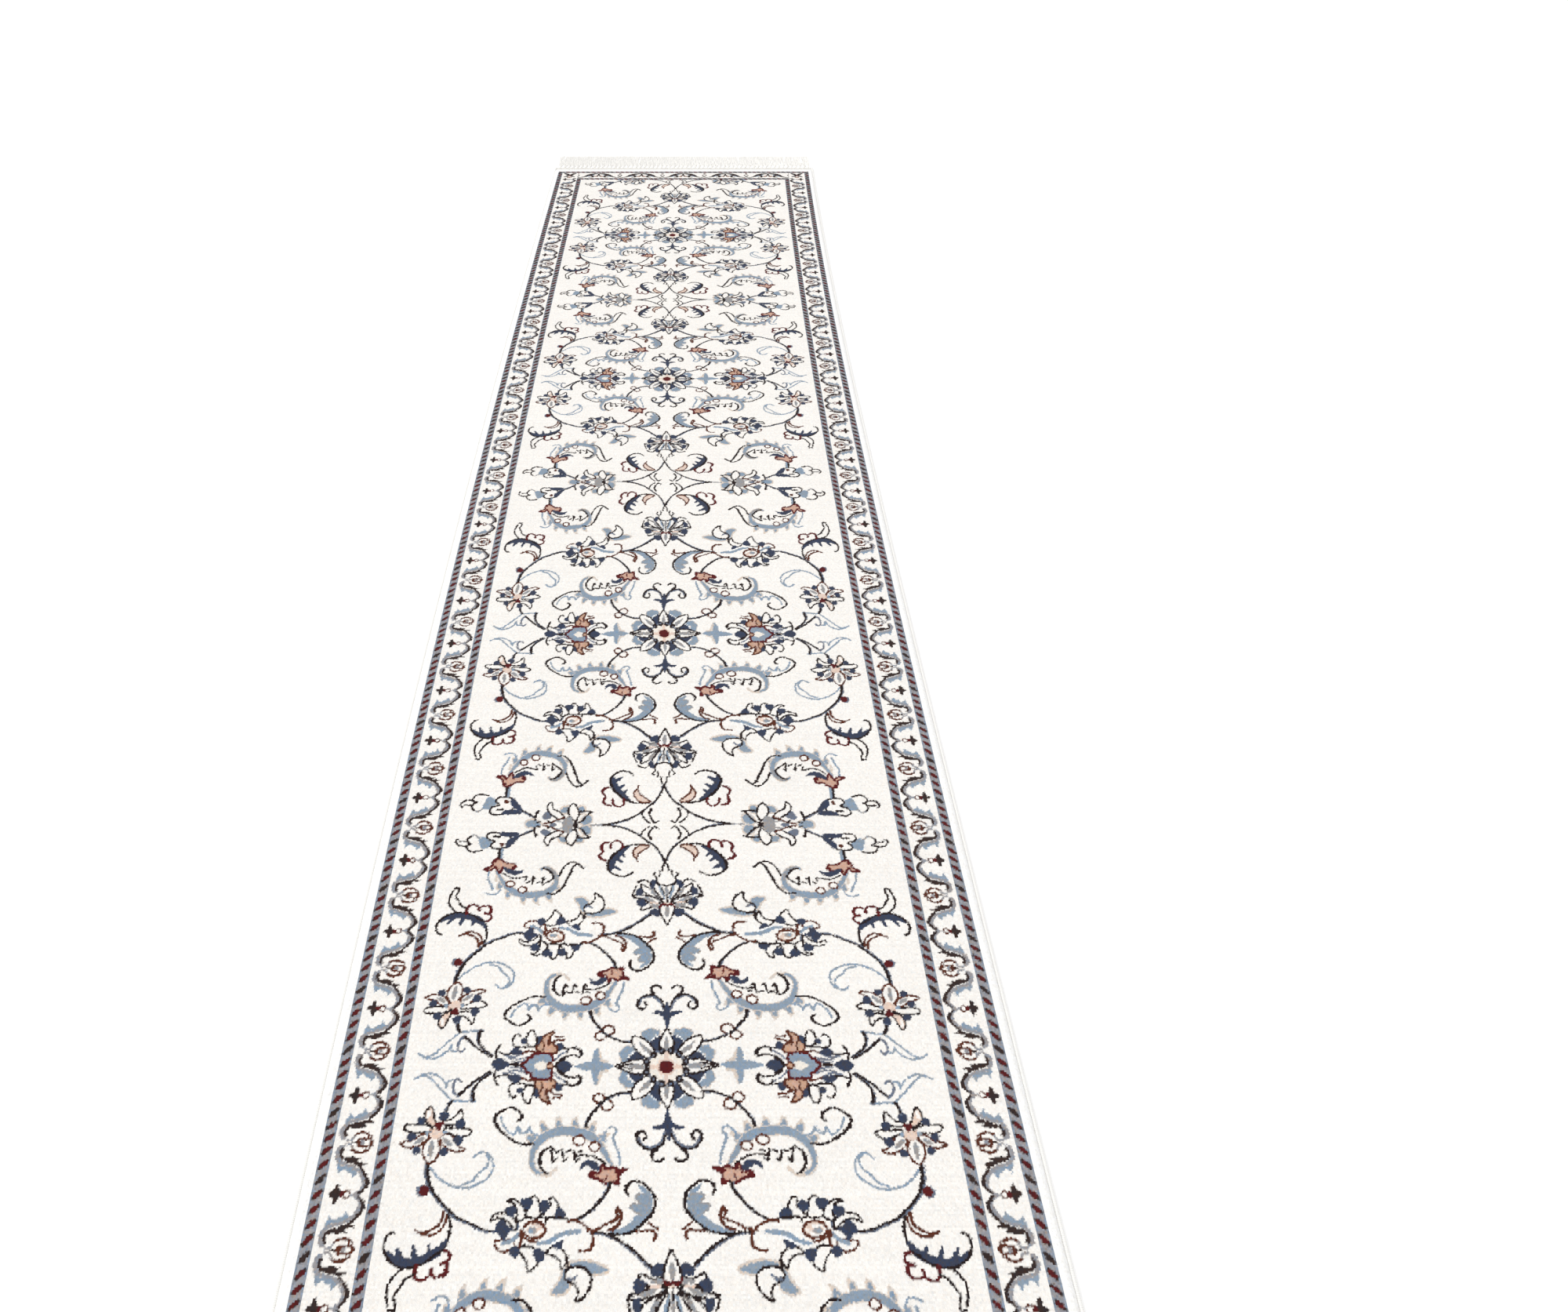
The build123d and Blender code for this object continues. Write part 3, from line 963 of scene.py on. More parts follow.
def dye_knots(mesh, yarn_at, unevenness):
    """Colours each knot, no two batches alike. A knot's tufts, at its corners, may differ in yarn."""
    faces = len(mesh.polygons)
    centres = np.empty(faces * 3)
    mesh.polygons.foreach_get("center", centres)
    centres = centres.reshape(-1, 3)
    sides = np.empty(faces, int)
    mesh.polygons.foreach_get("loop_total", sides)
    corner_vertex = np.empty(len(mesh.loops), int)
    mesh.loops.foreach_get("vertex_index", corner_vertex)
    knot = np.repeat(np.arange(faces), sides)
    tuft = centres[knot] + TUFT_SPREAD * (read_points(mesh)[corner_vertex] - centres[knot])
    slip = chance.normal(0, KNOT_SLIP, (faces, 2))[knot]
    x = (tuft[:, 0] - swing(tuft[:, 1])) / stretch(tuft[:, 1]) * 1000 + slip[:, 0]
    y = tuft[:, 1] * 1000 + slip[:, 1]
    row = np.floor(centres[:, 1] / KNOT_LENGTH).astype(int)
    row_tone = chance.normal(1, ROW_UNEVENNESS, np.ptp(row) + 1)[row - row.min()]
    tone = row_tone * chance.normal(1, unevenness, faces)
    tint = chance.normal(0, TINT_UNEVENNESS, faces)
    colours = DYED[yarn_at(x, y)]
    warmth = tint[knot] * (1 - colours.mean(1))
    dyed = np.ones((knot.size, 4))
    dyed[:, :3] = colours * tone[knot][:, None]
    dyed[:, 0] *= 1 + warmth
    dyed[:, 2] *= 1 - warmth
    dyed = np.clip(dyed, 0, [BRIGHTEST_WOOL] * 3 + [1])
    mesh.attributes.new("yarn", "FLOAT_COLOR", "CORNER").data.foreach_set("color", dyed.ravel())


def block_of_knots(low, high, face_height, foot_height, width, length):
    """A closed block with a grid of knots, each width by length, on one face and plain walls to the other."""
    shape = bmesh.new()
    bmesh.ops.create_grid(
        shape,
        x_segments=max(1, round((high[0] - low[0]) / width)),
        y_segments=max(1, round((high[1] - low[1]) / length)),
        size=0.5,
    )
    bmesh.ops.scale(shape, vec=(high[0] - low[0], high[1] - low[1], 1), verts=shape.verts)
    middle = (low + high) / 2
    bmesh.ops.translate(shape, vec=(middle[0], middle[1], face_height), verts=shape.verts)
    rim = [edge for edge in shape.edges if edge.is_boundary]
    walls = bmesh.ops.extrude_edge_only(shape, edges=rim)["geom"]
    foot = [part for part in walls if isinstance(part, bmesh.types.BMVert)]
    bmesh.ops.translate(shape, vec=(0, 0, foot_height - face_height), verts=foot)
    foot_edges = [edge for edge in shape.edges if edge.is_boundary]
    bmesh.ops.contextual_create(shape, geom=foot_edges)
    return shape


def knotted(name, nodes, yarn_at, material, body, unevenness=YARN_UNEVENNESS):
    """A closed block of cut pile with one face on top for each knot, which stands in for CAD nodes."""
    low, high = swung_box(*nodes)
    shape = block_of_knots(low, high, high[2], low[2], KNOT_WIDTH, KNOT_LENGTH)
    bmesh.ops.recalc_face_normals(shape, faces=shape.faces)
    piece = finished(name, shape, material)
    points = read_points(piece.data)
    top = points[:, 2] > low[2] + SMALLEST_GAP
    points[top, 2] -= np.abs(chance.normal(0, PILE_UNEVENNESS, top.sum()))
    write_points(piece.data, points)
    dye_knots(piece.data, yarn_at, unevenness)
    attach(piece, body)
    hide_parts(*nodes)
    return piece


class Value:
    """A number that changes over a surface, for sums in a finish."""

    def __init__(self, finish, socket):
        self.finish = finish
        self.socket = socket

    def sum_of(self, operation, first, second):
        return self.finish.node("ShaderNodeMath", {"operation": operation}, {0: first, 1: second})

    def __add__(self, other):
        return self.sum_of("ADD", self, other)

    __radd__ = __add__

    def __mul__(self, other):
        return self.sum_of("MULTIPLY", self, other)

    __rmul__ = __mul__


class Finish:
    """A material under construction."""

    def __init__(self, name):
        self.material = bpy.data.materials.new(name)
        self.material.use_nodes = True
        self.nodes = self.material.node_tree.nodes
        self.surface = self.nodes["Principled BSDF"]

    def join(self, value, socket):
        if isinstance(value, Value):
            self.material.node_tree.links.new(value.socket, socket)
        else:
            socket.default_value = value

    def node(self, kind, settings, sockets, output=0):
        made = self.nodes.new(kind)
        for name, setting in settings.items():
            setattr(made, name, setting)
        for name, value in sockets.items():
            self.join(value, made.inputs[name])
        return Value(self, made.outputs[output])

    def place(self):
        return self.node("ShaderNodeTexCoord", {}, {}, "Object")

    def noise(self, scale, detail=2.0):
        """A cloudy pattern, finer the larger its scale."""
        sockets = {"Vector": self.place(), "Scale": scale, "Detail": detail}
        return self.node("ShaderNodeTexNoise", {}, sockets)

    def ribs(self, direction, scale, distortion):
        """Even ribs, one beside the other along X or Y."""
        return self.node(
            "ShaderNodeTexWave",
            {"wave_type": "BANDS", "bands_direction": direction, "wave_profile": "SIN"},
            {"Vector": self.place(), "Scale": scale, "Distortion": distortion, "Detail": 1.0},
            "Fac",
        )

    def yarn(self):
        """The colours that dye_knots gave the piece."""
        return self.node("ShaderNodeAttribute", {"attribute_name": "yarn"}, {}, "Color")

    def shaded(self, colour, tone):
        """A colour made darker or lighter by a tone around 1."""
        return self.node(
            "ShaderNodeMix", {"data_type": "RGBA", "blend_type": "MULTIPLY"}, {0: 1.0, 6: colour, 7: tone}, 2
        )

    def bump(self, height, depth):
        """Relief, for the surface's normal."""
        return self.node("ShaderNodeBump", {}, {"Height": height, "Distance": depth, "Strength": 1.0})

    def wear(self, **sockets):
        for name, value in sockets.items():
            self.join(value, self.surface.inputs[name.replace("_", " ")])
        return self.material


TUFT_DEPTH = 0.0007
TUFTS_PER_METRE = 900.0
CLOUDS_PER_METRE = 9.0


def cut_wool(name):
    """Cut wool pile: dull, soft at a low angle, and made of tufts finer than a knot."""
    wool = Finish(name)
    tufts = wool.noise(TUFTS_PER_METRE, 3.0)
    cloud = wool.noise(CLOUDS_PER_METRE, 2.0)
    tone = 0.93 + 0.10 * tufts + 0.05 * cloud
    return wool.wear(
        Base_Color=wool.shaded(wool.yarn(), tone),
        Roughness=0.84 + 0.12 * tufts,
        Specular_IOR_Level=0.08,
        Sheen_Weight=0.04,
        Sheen_Roughness=0.5,
        Normal=wool.bump(tufts, TUFT_DEPTH),
    )


HALVES = ("near", "far")
field_wool = cut_wool("field_wool")
for half in HALVES:
    for place in (1, 2):
        node = f"field_pile_{half}_{place}"
        knotted(node + "_knots", [node], field_yarn, field_wool, f"{half}_half")


# ---- Guard stripes ----
# The two narrow bands that frame the main border: grey wool edged in pale blue, crossed by slanting
# bars of burgundy and umber, which grow broader toward the far end. They are knotted in the same
# rows as the field.
INNER_GUARD_STARTS = 282.0
OUTER_GUARD_STARTS = 338.0
SIDE_GUARD_WIDTH = 12.0
END_INNER_GUARD_STARTS = 1440.0
END_OUTER_GUARD_STARTS = 1490.0
END_GUARD_WIDTH = 10.0
BAR_PITCH = 13.7
BAR_RISE = 3.6
EDGE_SHARE = 0.15
GUARD_UNEVENNESS = 0.09
GUARD_BROADENS = 1.1


def guard_yarn(across, along, width, far):
    """A guard stripe's yarns. across is 0 at its inner edge and along runs with the stripe."""
    wandered = along + 1.3 * np.sin(along / 31) + 0.8 * np.sin(along / 11 + 1)
    number = np.floor(wandered / BAR_PITCH)
    step = wandered - number * BAR_PITCH
    draw = Cartoon(across, step, "lilac", GUARD_BROADENS * far)
    edges = (draw.x < EDGE_SHARE * width) | (draw.x > (1 - EDGE_SHARE) * width)
    draw.yarn[edges] = YARN_NUMBER["mist"]
    middle = BAR_PITCH / 2
    bar = [(0.22 * width, middle + BAR_RISE), (0.78 * width, middle - BAR_RISE)]
    draw.line("umber", bar, [3.0, 5.2, 3.0])
    heart = [(0.36 * width, middle + 0.5 * BAR_RISE), (0.62 * width, middle - 0.45 * BAR_RISE)]
    draw.line("burgundy", heart, 3.8)
    mostly_umber = (number.astype(int) * 7) % 5 < 1 + 2 * (along > 0)
    hidden = mostly_umber.ravel() & (draw.yarn == YARN_NUMBER["burgundy"])
    draw.yarn[hidden] = YARN_NUMBER["umber"]
    return draw.yarn.reshape(across.shape)


def side_guard_yarn(starts):
    return lambda x, y: guard_yarn(np.abs(x) - starts, y, SIDE_GUARD_WIDTH, far_share(y))


def end_guard_yarn(starts):
    return lambda x, y: guard_yarn(np.abs(y) - starts, x, END_GUARD_WIDTH, far_share(y))


guard_wool = cut_wool("guard_wool")
for guard, side_starts, end_starts in (
    ("inner_guard", INNER_GUARD_STARTS, END_INNER_GUARD_STARTS),
    ("outer_guard", OUTER_GUARD_STARTS, END_OUTER_GUARD_STARTS),
):
    for half in HALVES:
        for place in ("left", "right", "end"):
            node = f"{guard}_{place}_{half}"
            yarn_at = end_guard_yarn(end_starts) if place == "end" else side_guard_yarn(side_starts)
            knotted(
                node + "_knots", [node], yarn_at, guard_wool, f"{half}_half", GUARD_UNEVENNESS
            )


# ---- Main border ----
# The wide band between the guards: ivory wool with a winding stem of serrated leaves that carries a
# ringed flower in each outer bend and a small dark bud in each inner one, and arches at the ends.
SIDE_BORDER_STARTS = INNER_GUARD_STARTS + SIDE_GUARD_WIDTH
SIDE_BORDER_WIDTH = OUTER_GUARD_STARTS - SIDE_BORDER_STARTS
END_BORDER_STARTS = END_INNER_GUARD_STARTS + END_GUARD_WIDTH
END_BORDER_WIDTH = END_OUTER_GUARD_STARTS - END_BORDER_STARTS
SIDE_FLOWER_AT = -1091.5
SIDE_FLOWER_PITCH = 99.3
ARCH_PITCH = 118.0
BORDER_BROADENS = 0.7
HALF_BEND = 50


def draw_border(draw):
    """Half of one bend of the winding stem, from a flower at 0 to a bud at 50."""
    spiked_leaf = [
        (14.5, 26), (16, 31), (19.5, 35.5), (21, 30.5), (25, 30), (27.5, 26.5), (31, 27), (34.5, 31.5),
        (35.5, 26), (37.5, 23), (37, 18), (27, 21),
    ]
    draw.fill("sky", spiked_leaf, rounded=False)
    draw.line("beige", [(30, 23), (34, 20), (36.5, 14)], [1.4, 2, 1.4])
    draw.line(
        "lilac",
        [(31, 3.5), (37, 5.5), (38.5, 11), (37, 16.5), (33, 20.5), (26.5, 22.5), (19.5, 24.5), (14, 28),
         (10.5, 32), (8, 36.5), (7, 41), (9, 45.5), (14, 49.5)],
        [2, 3.4, 3.8, 3.8, 3, 2.6, 2.6, 2.8, 3.2, 3.6, 3.6, 3, 2],
    )
    dark_leaf = [
        (31.5, 17.5), (23.5, 20.5), (16.5, 23), (11, 22.5), (6.5, 20.5), (12, 19.5), (18, 18.5), (14, 15.5),
        (18, 15.5), (23, 14), (29.5, 14.5),
    ]
    draw.fill("umber", dark_leaf, rounded=False)
    draw.line(
        "umber",
        [(30.5, 5), (34, 7.5), (35, 11.5), (33.5, 15), (29.5, 17), (21.5, 19.5), (15.5, 22), (12, 25.5),
         (8.5, 29.5), (5.5, 33.5), (4, 37.5), (4, 41), (6.5, 45), (10.5, 49)],
        [2, 2.8, 2.6, 2.8, 3.6, 3, 2.4, 2.2, 2.4, 2.8, 3.6, 3.4, 2.6, 2],
    )
    draw.ring("rust", 17.5, 0, 11.6, width=3.0)
    draw.dots("rust", [(9.5, 5.5), (6.4, 0)], 2.6, 3.0)
    draw.dots("ivory", [(9.6, 5.6), (3.6, 0)], 1.0, 1.2)
    draw.fill("ivory", [(24, 0), (24, 7), (33, 7), (33, 0)], rounded=False)
    draw.line("rust", [(10, 3.4), (20, 3.4)], 1.6)
    draw.dot("lilac", 15.5, 0, 2.4, 2.6)
    draw.dot("rust", 20, 0, 2.8, 2.6)
    draw.line("umber", [(22, 0), (26, 0)], 1.4)
    draw.line("lilac", [(25, 6), (27, 2.6), (32, 1.6)], 2)
    draw.ring("rust", 22, 50, 4.2, width=1.8)
    draw.dot("burgundy", 27.4, 50, 2.8, 3)
    draw.fill("umber", [(29, 50), (29.5, 45), (31, 40.5), (34, 42), (34.5, 46), (38.5, 48.5), (38.5, 50)])
    draw.line("lilac", [(11, 50), (18, 50)], 1.6)


def draw_arch(draw):
    """Half of one arch of the end border, from its middle at 0 to the ring between two arches at 50."""
    draw.line("sky", [(27, 12), (19, 22), (12, 28)], [2, 5, 2])
    draw.lines("umber", [
        ([(37, 0), (36, 9), (31, 19), (22, 27), (13, 32), (7, 39)], [3, 7, 8, 6, 3.4, 2.4]),
        ([(24, 19), (16, 14), (9, 15), (8, 21)], [6, 4, 2.4]),
        ([(36, 0), (28, 0), (20, 3)], 2.4),
    ])
    draw.ring("rust", 15, 6, 4.6, heart="terracotta")
    draw.line("umber", [(7, 39), (6, 45), (12, 50)], 2.4)
    draw.ring("umber", 24, 50, 6.4, 5.4, "ivory", 2.6)
    draw.dot("rust", 37, 50, 3.4, 3)


def draw_corner(draw):
    """The crossed dark flower that turns the corner, with a pale berry on its inner side."""
    draw.lines("umber", [
        ([(7, 36), (14, 30), (22, 22), (30, 30), (37, 36)], [3, 8, 5, 8, 3]),
        ([(9, 11), (16, 16), (22, 22), (29, 16), (36, 10)], [3, 6, 4, 6, 3]),
    ])
    draw.dot("burgundy", 22, 22, 3.4)
    draw.dot("rust", 22, 7, 7, 4.4)
    draw.dot("terracotta", 22, 7, 5, 2.8)


def border_yarn(across, along, pitch, draw_half, far):
    """A border's yarns. across is 0 at its inner edge, along is 0 at a flower, pitch parts the flowers."""
    wandered = along + 1.2 * np.sin(along / 83) + 0.7 * np.sin(along / 29 + across / 15)
    share = np.abs((wandered / pitch + 0.5) % 1 - 0.5)
    draw = Cartoon(across, share * 2 * HALF_BEND, "ivory", BORDER_BROADENS * far)
    draw_half(draw)
    return draw.yarn.reshape(across.shape)


def side_border_yarn(x, y):
    across = np.abs(x) - SIDE_BORDER_STARTS
    yarn = border_yarn(across, y - SIDE_FLOWER_AT, SIDE_FLOWER_PITCH, draw_border, far_share(y))
    corner = np.abs(y) > END_BORDER_STARTS
    past_start = np.abs(y[corner]) - END_BORDER_STARTS
    draw = Cartoon(across[corner], past_start, "ivory", BORDER_BROADENS * far_share(y[corner]))
    draw_corner(draw)
    yarn[corner] = draw.yarn
    return yarn


def end_border_yarn(x, y):
    across = (np.abs(y) - END_BORDER_STARTS) * SIDE_BORDER_WIDTH / END_BORDER_WIDTH
    return border_yarn(across, x, ARCH_PITCH, draw_arch, far_share(y))


border_wool = cut_wool("border_wool")
for half in HALVES:
    for place in ("left", "right", "end"):
        node = f"main_border_{place}_{half}"
        yarn_at = end_border_yarn if place == "end" else side_border_yarn
        knotted(node + "_knots", [node], yarn_at, border_wool, f"{half}_half")


# ---- Plain edge ----
# A few plain white knots outside the last guard, which keep the pattern away from the binding. The
# outermost knots on the sides lean out and down over it.
LEANING_WIDTH = 0.006
LEANING_DROP = 0.0032

edge_wool = cut_wool("edge_wool")
for half in HALVES:
    for place in ("left", "right", "end"):
        node = f"plain_edge_{place}_{half}"
        piece = knotted(node + "_knots", [node], plain_yarn, edge_wool, f"{half}_half")
        if place != "end":
            low, high = swung_box(node)
            points = read_points(piece.data)
            outward = np.abs((points[:, 0] - swing(points[:, 1])) / stretch(points[:, 1]))
            edge = max(abs(low[0]), abs(high[0]))
            leaning = np.clip((outward - edge) / LEANING_WIDTH + 1, 0, 1)
            top = points[:, 2] > low[2] + SMALLEST_GAP
            points[top, 2] -= LEANING_DROP * leaning[top] ** 2
            write_points(piece.data, points)


# ---- Foundation ----
# The cotton warps and wefts that every knot is tied on. Its underside is the back of the rug, where
# each knot shows as a small flat bead in its yarn. The cloth bends where the rug folds.
BACK_KNOT_WIDTH = 0.0034
BACK_KNOT_LENGTH = 0.0034
BEND_LENGTH = 0.016
BEND_CUTS = 4
PATTERN_HALF_WIDTH = OUTER_GUARD_STARTS + SIDE_GUARD_WIDTH
PATTERN_HALF_LENGTH = END_OUTER_GUARD_STARTS + END_GUARD_WIDTH


def back_yarn(x, y):
    """The yarns seen from the back, which are those of the pile above, and plain white past them."""
    yarn = plain_yarn(x, y)
    ends = np.abs(y)
    sides = np.abs(x)
    bands = (
        (0, INNER_GUARD_STARTS, END_INNER_GUARD_STARTS, field_yarn),
        (INNER_GUARD_STARTS, SIDE_BORDER_STARTS, END_BORDER_STARTS, side_guard_yarn(INNER_GUARD_STARTS)),
        (0, SIDE_BORDER_STARTS, END_BORDER_STARTS, end_guard_yarn(END_INNER_GUARD_STARTS)),
        (SIDE_BORDER_STARTS, OUTER_GUARD_STARTS, END_OUTER_GUARD_STARTS, side_border_yarn),
        (0, OUTER_GUARD_STARTS, END_OUTER_GUARD_STARTS, end_border_yarn),
        (OUTER_GUARD_STARTS, PATTERN_HALF_WIDTH, PATTERN_HALF_LENGTH, side_guard_yarn(OUTER_GUARD_STARTS)),
        (0, OUTER_GUARD_STARTS, PATTERN_HALF_LENGTH, end_guard_yarn(END_OUTER_GUARD_STARTS)),
    )
    left = np.ones(x.shape, bool)
    for inner, outer, end, yarn_at in bands:
        here = left & (sides >= inner) & (sides < outer) & (ends < end)
        yarn[here] = yarn_at(x[here], y[here])
        left &= ~here
    return yarn


def knot_backs(name):
    """The ribbed back of the rug: each knot's two nodes side by side, with a weft between rows."""
    back = Finish(name)
    ribs = back.ribs("X", 314.0, 0.4)
    rows = back.ribs("Y", 150.0, 0.6)
    tone = 0.84 + 0.10 * rows + 0.06 * ribs
    return back.wear(
        Base_Color=back.shaded(back.yarn(), tone),
        Roughness=0.80 + 0.10 * ribs,
        Specular_IOR_Level=0.2,
        Normal=back.bump(rows + 0.6 * ribs, 0.0006),
    )


foundation_cotton = knot_backs("foundation_cotton")
for half in HALVES:
    node = f"foundation_{half}"
    low, high = swung_box(node)
    cloth = block_of_knots(low, high, low[2], high[2], BACK_KNOT_WIDTH, BACK_KNOT_LENGTH)
    if half == "far":
        for cut in range(1, BEND_CUTS + 1):
            bmesh.ops.bisect_plane(
                cloth,
                geom=cloth.verts[:] + cloth.edges[:] + cloth.faces[:],
                plane_co=(0, BEND_LENGTH * cut / BEND_CUTS, 0),
                plane_no=(0, 1, 0),
            )
    bmesh.ops.recalc_face_normals(cloth, faces=cloth.faces)
    piece = finished(node + "_cloth", cloth, foundation_cotton)
    dye_knots(piece.data, back_yarn, YARN_UNEVENNESS)
    if half == "far":
        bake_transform(piece)
    else:
        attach(piece, "near_half")
    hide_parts(node)


# ---- Selvedges ----
# Each side is bound over a core of grouped warps with ivory wool, wrapped round and round. The
# binding bends with the cloth at the fold.
WRAP_SIDES = 12
WRAP_RING = 0.004
WRAPS_PER_METRE = 520.0
CORE_SIDES = 8


def rod(radius, sides, low_y, high_y, ring, place):
    """A straight rod along the rug, with rings close enough for it to bend."""
    shape = bmesh.new()
    bmesh.ops.create_cone(
        shape, cap_ends=True, segments=sides, radius1=radius, radius2=radius, depth=high_y - low_y
    )
    long_edges = [
        edge for edge in shape.edges if abs(edge.verts[0].co.z - edge.verts[1].co.z) > radius
    ]
    rings = round((high_y - low_y) / ring)
    bmesh.ops.subdivide_edges(shape, edges=long_edges, cuts=rings, use_grid_fill=True)
    for vert in shape.verts:
        x, y, z = vert.co
        vert.co = (x + place[0], z + (low_y + high_y) / 2, -y + place[1])
    bmesh.ops.recalc_face_normals(shape, faces=shape.faces)
    return shape


def bound_wool(name):
    """Wool yarn wound tightly round a core."""
    wool = Finish(name)
    turns = wool.ribs("Y", WRAPS_PER_METRE * 2 * math.pi / 20, 1.2)
    hairs = wool.noise(1300.0, 2.0)
    return wool.wear(
        Base_Color=wool.shaded((0.97, 0.96, 0.93, 1), 0.92 + 0.05 * turns + 0.05 * hairs),
        Roughness=0.84 + 0.12 * hairs,
        Specular_IOR_Level=0.18,
        Sheen_Weight=0.12,
        Normal=wool.bump(turns + 0.5 * hairs, 0.0003),
    )


def plain_cotton(name, colour, depth=0.0003):
    """Undyed cotton yarn, a little uneven in its spinning."""
    cotton = Finish(name)
    hairs = cotton.noise(900.0, 3.0)
    slubs = cotton.noise(70.0, 2.0)
    return cotton.wear(
        Base_Color=cotton.shaded(colour, 0.88 + 0.12 * hairs + 0.08 * slubs),
        Roughness=0.78 + 0.14 * hairs,
        Specular_IOR_Level=0.2,
        Normal=cotton.bump(hairs, depth),
    )


selvedge_wool = bound_wool("selvedge_wool")
warp_cotton = plain_cotton("warp_cotton", (0.86, 0.83, 0.77, 1))
for half in HALVES:
    for side in ("left", "right"):
        for part, sides, material, slot in (
            ("selvedge_wrap", WRAP_SIDES, selvedge_wool, "selvedge_wool"),
            ("selvedge_core", CORE_SIDES, warp_cotton, "warp_cotton"),
        ):
            node = f"{part}_{side}_{half}"
            low, high = swung_box(node)
            middle = (low + high) / 2
            binding = rod((high[0] - low[0]) / 2, sides, low[1], high[1], WRAP_RING, (middle[0], middle[2]))
            piece = finished(node + "_yarn", binding, material)
            if half == "far":
                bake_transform(piece)
            else:
                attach(piece, "near_half")
            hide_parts(node)


# ---- Kilim skirts, stitching and fringe ----
# Past the pile each end is woven flat for a hand's breadth, locked by a row of chain stitch, and the
# warps hang on beyond it as a fringe, knotted in bunches.
SKIRT_CELL = 0.004
SKIRT_ROWS = 5
SKIRT_UNEVENNESS = 0.0004
DIMPLES_ACROSS = 190
DIMPLES_ALONG = 260
FRINGE_STRANDS = 9
BUNCH_PITCH = 0.012
STRAND_CUTS = 11
STRAND_RADIUS = 0.00095
KNOT_RADIUS = 0.0023
KNOT_SHAPE = (1.0, 1.35, 0.9)
STITCH_LENGTH = 0.0075
STITCH_OVERLAP = 1.25
STITCH_BREADTH = 0.55
STITCH_HEIGHT = 0.9
STITCH_LEANS = (-0.22, 0.30)
BUNCH_LEANS = 0.0014
KNOT_FROM_ROOT = (0.005, 0.008)
STRAND_WAVES = (0.0004, 0.0016)
STRAND_REACHES = (0.970, 0.990)
STRAND_STARTS = 0.001
STRAND_TAPER = 0.7
STRAND_LIFT = 0.0004
STRAND_SPREADS = (0.9, 1.1)
STRAND_WAVINESS = 9
SPREAD_BY = 0.25


def flat_weave(name, colour):
    """A plain cotton weave with ribs across the rug."""
    weave = Finish(name)
    wefts = weave.ribs("Y", 210.0, 0.7)
    warps = weave.ribs("X", 160.0, 0.7)
    slubs = weave.noise(60.0, 2.0)
    return weave.wear(
        Base_Color=weave.shaded(colour, 0.84 + 0.08 * wefts + 0.06 * warps + 0.06 * slubs),
        Roughness=0.82 + 0.10 * warps,
        Specular_IOR_Level=0.2,
        Normal=weave.bump(wefts + warps, 0.0004),
    )


kilim_cotton = flat_weave("kilim_cotton", (0.985, 0.970, 0.935, 1))
stitch_cotton = plain_cotton("stitch_cotton", (0.90, 0.87, 0.81, 1))
fringe_cotton = plain_cotton("fringe_cotton", (0.97, 0.955, 0.925, 1), depth=0.0002)

strand_shape = bmesh.new()
bmesh.ops.create_cone(
    strand_shape,
    cap_ends=True,
    segments=4,
    radius1=STRAND_RADIUS,
    radius2=STRAND_RADIUS * STRAND_TAPER,
    depth=1,
)
strand_edges = [edge for edge in strand_shape.edges if edge.calc_length() > 0.5]
bmesh.ops.subdivide_edges(strand_shape, edges=strand_edges, cuts=STRAND_CUTS, use_grid_fill=True)
straight_strand = bpy.data.meshes.new("straight_strand")
strand_shape.to_mesh(straight_strand)
strand_shape.free()


def woven_skirt(low, high):
    """A flat woven band, a little dimpled on top, in cells small enough to bend as cloth."""
    skirt = bmesh.new()
    bmesh.ops.create_cube(skirt, size=1)
    bmesh.ops.scale(skirt, vec=tuple(high - low), verts=skirt.verts)
    bmesh.ops.translate(skirt, vec=tuple((low + high) / 2), verts=skirt.verts)
    across = [edge for edge in skirt.edges if abs(edge.verts[0].co.x - edge.verts[1].co.x) > SKIRT_CELL]
    bmesh.ops.subdivide_edges(
        skirt, edges=across, cuts=round((high[0] - low[0]) / SKIRT_CELL), use_grid_fill=True
    )
    along = [edge for edge in skirt.edges if abs(edge.verts[0].co.y - edge.verts[1].co.y) > SKIRT_CELL]
    bmesh.ops.subdivide_edges(skirt, edges=along, cuts=SKIRT_ROWS, use_grid_fill=True)
    for vert in skirt.verts:
        if vert.co.z > (low[2] + high[2]) / 2:
            dimple = math.sin(vert.co.x * DIMPLES_ACROSS) * math.sin(vert.co.y * DIMPLES_ALONG + 1)
            vert.co.z -= SKIRT_UNEVENNESS * (1 + dimple)
    bmesh.ops.recalc_face_normals(skirt, faces=skirt.faces)
    return skirt


def stitch_row(low, high):
    """Plump stitches that overlap in a row and lean one way and the other."""
    stitches = bmesh.new()
    count = round((high[0] - low[0]) / STITCH_LENGTH)
    thickness = high[2] - low[2]
    for number in range(count):
        made = bmesh.ops.create_uvsphere(stitches, u_segments=8, v_segments=6, radius=0.5)["verts"]
        size = (STITCH_LENGTH * STITCH_OVERLAP, thickness * STITCH_BREADTH, thickness * STITCH_HEIGHT)
        bmesh.ops.scale(stitches, vec=size, verts=made)
        lean = STITCH_LEANS[number % 2]
        turn = ((math.cos(lean), -math.sin(lean)), (math.sin(lean), math.cos(lean)))
        place_x = low[0] + (number + 0.5) * (high[0] - low[0]) / count
        for vert in made:
            x, y, z = vert.co
            vert.co = (
                place_x + turn[0][0] * x + turn[0][1] * y,
                (low[1] + high[1]) / 2 + turn[1][0] * x + turn[1][1] * y,
                (low[2] + high[2]) / 2 + z,
            )
    return stitches


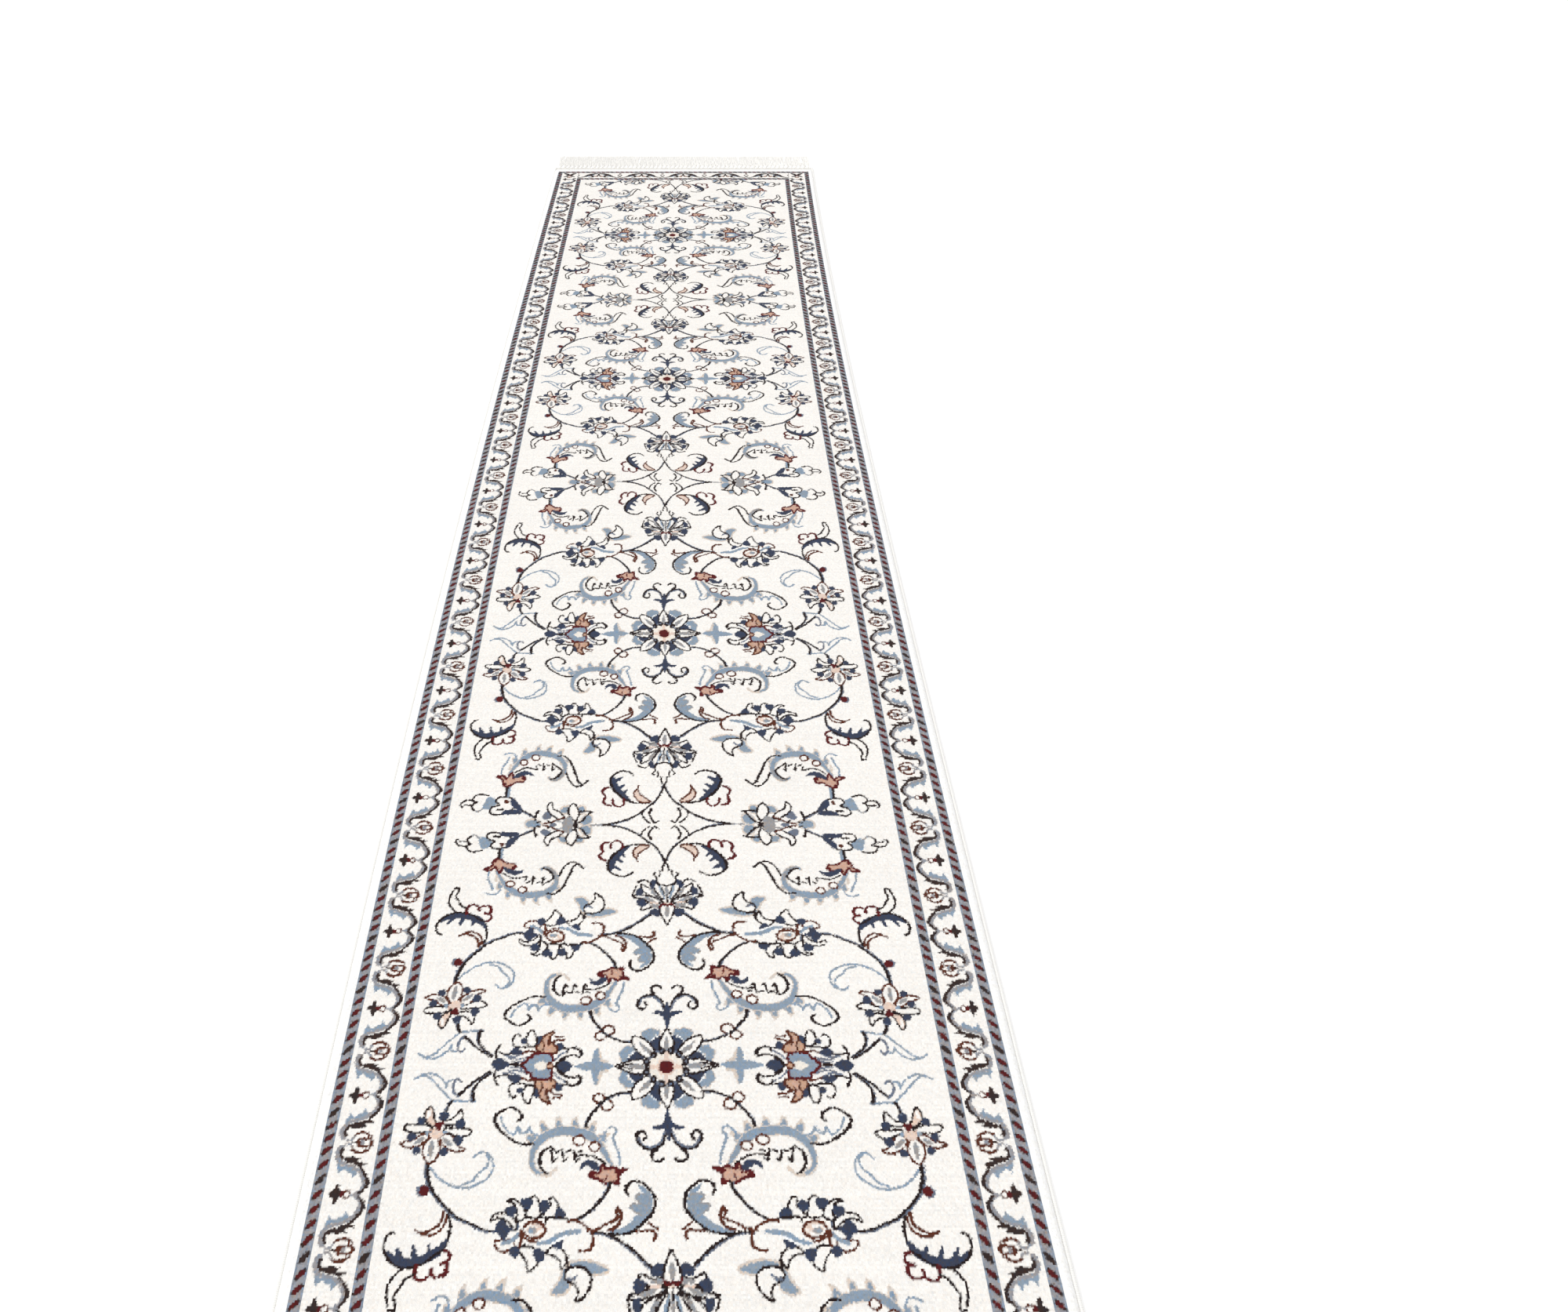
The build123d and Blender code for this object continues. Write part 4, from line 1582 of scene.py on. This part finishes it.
def fringe_bunches(low, high, outward):
    """Bunches of strands, each knotted near the skirt, that run outward from it side by side."""
    root = low[1] if outward > 0 else high[1]
    length = high[1] - low[1]
    bunches = round((high[0] - low[0]) / BUNCH_PITCH)
    knots = bmesh.new()
    fringe = bmesh.new()
    for bunch in range(bunches):
        bunch_x = low[0] + (bunch + 0.5) * (high[0] - low[0]) / bunches
        lean = chance.normal(0, BUNCH_LEANS)
        made = bmesh.ops.create_uvsphere(knots, u_segments=8, v_segments=6, radius=KNOT_RADIUS)["verts"]
        knot_y = root + outward * chance.uniform(*KNOT_FROM_ROOT)
        bmesh.ops.scale(knots, vec=KNOT_SHAPE, verts=made)
        bmesh.ops.translate(knots, vec=(bunch_x, knot_y, KNOT_RADIUS), verts=made)
        for strand in range(FRINGE_STRANDS):
            from_middle = strand - (FRINGE_STRANDS - 1) / 2
            spread = from_middle * BUNCH_PITCH / FRINGE_STRANDS * chance.uniform(*STRAND_SPREADS)
            wave = chance.uniform(*STRAND_WAVES)
            phase = chance.uniform(0, 2 * math.pi)
            reach = length * chance.uniform(*STRAND_REACHES)
            before = len(fringe.verts)
            fringe.from_mesh(straight_strand)
            fringe.verts.ensure_lookup_table()
            for vert in fringe.verts[before:]:
                x, y, z = vert.co
                share = z + 0.5
                sway = lean * share + spread * min(1, share / SPREAD_BY)
                sway += wave * math.sin(STRAND_WAVINESS * share + phase)
                vert.co = (
                    bunch_x + x + sway,
                    root + outward * (STRAND_STARTS + share * reach),
                    STRAND_RADIUS + STRAND_LIFT * (strand % 2) + y,
                )
    knot_mesh = bpy.data.meshes.new("fringe_knots")
    knots.to_mesh(knot_mesh)
    knots.free()
    fringe.from_mesh(knot_mesh)
    bmesh.ops.recalc_face_normals(fringe, faces=fringe.faces)
    return fringe


for half in HALVES:
    body = f"{half}_half"
    outward = 1 if half == "far" else -1

    low, high = swung_box(f"kilim_skirt_{half}")
    skirt_piece = finished(f"kilim_skirt_{half}_weave", woven_skirt(low, high), kilim_cotton)
    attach(skirt_piece, body)
    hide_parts(f"kilim_skirt_{half}")

    low, high = swung_box(f"chain_stitch_{half}")
    stitch_piece = finished(f"chain_stitch_{half}_yarn", stitch_row(low, high), stitch_cotton)
    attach(stitch_piece, body)
    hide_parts(f"chain_stitch_{half}")

    low, high = swung_box(f"fringe_{half}")
    bunches = fringe_bunches(low, high, outward)
    fringe_piece = finished(f"fringe_{half}_bunches", bunches, fringe_cotton)
    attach(fringe_piece, body)
    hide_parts(f"fringe_{half}")
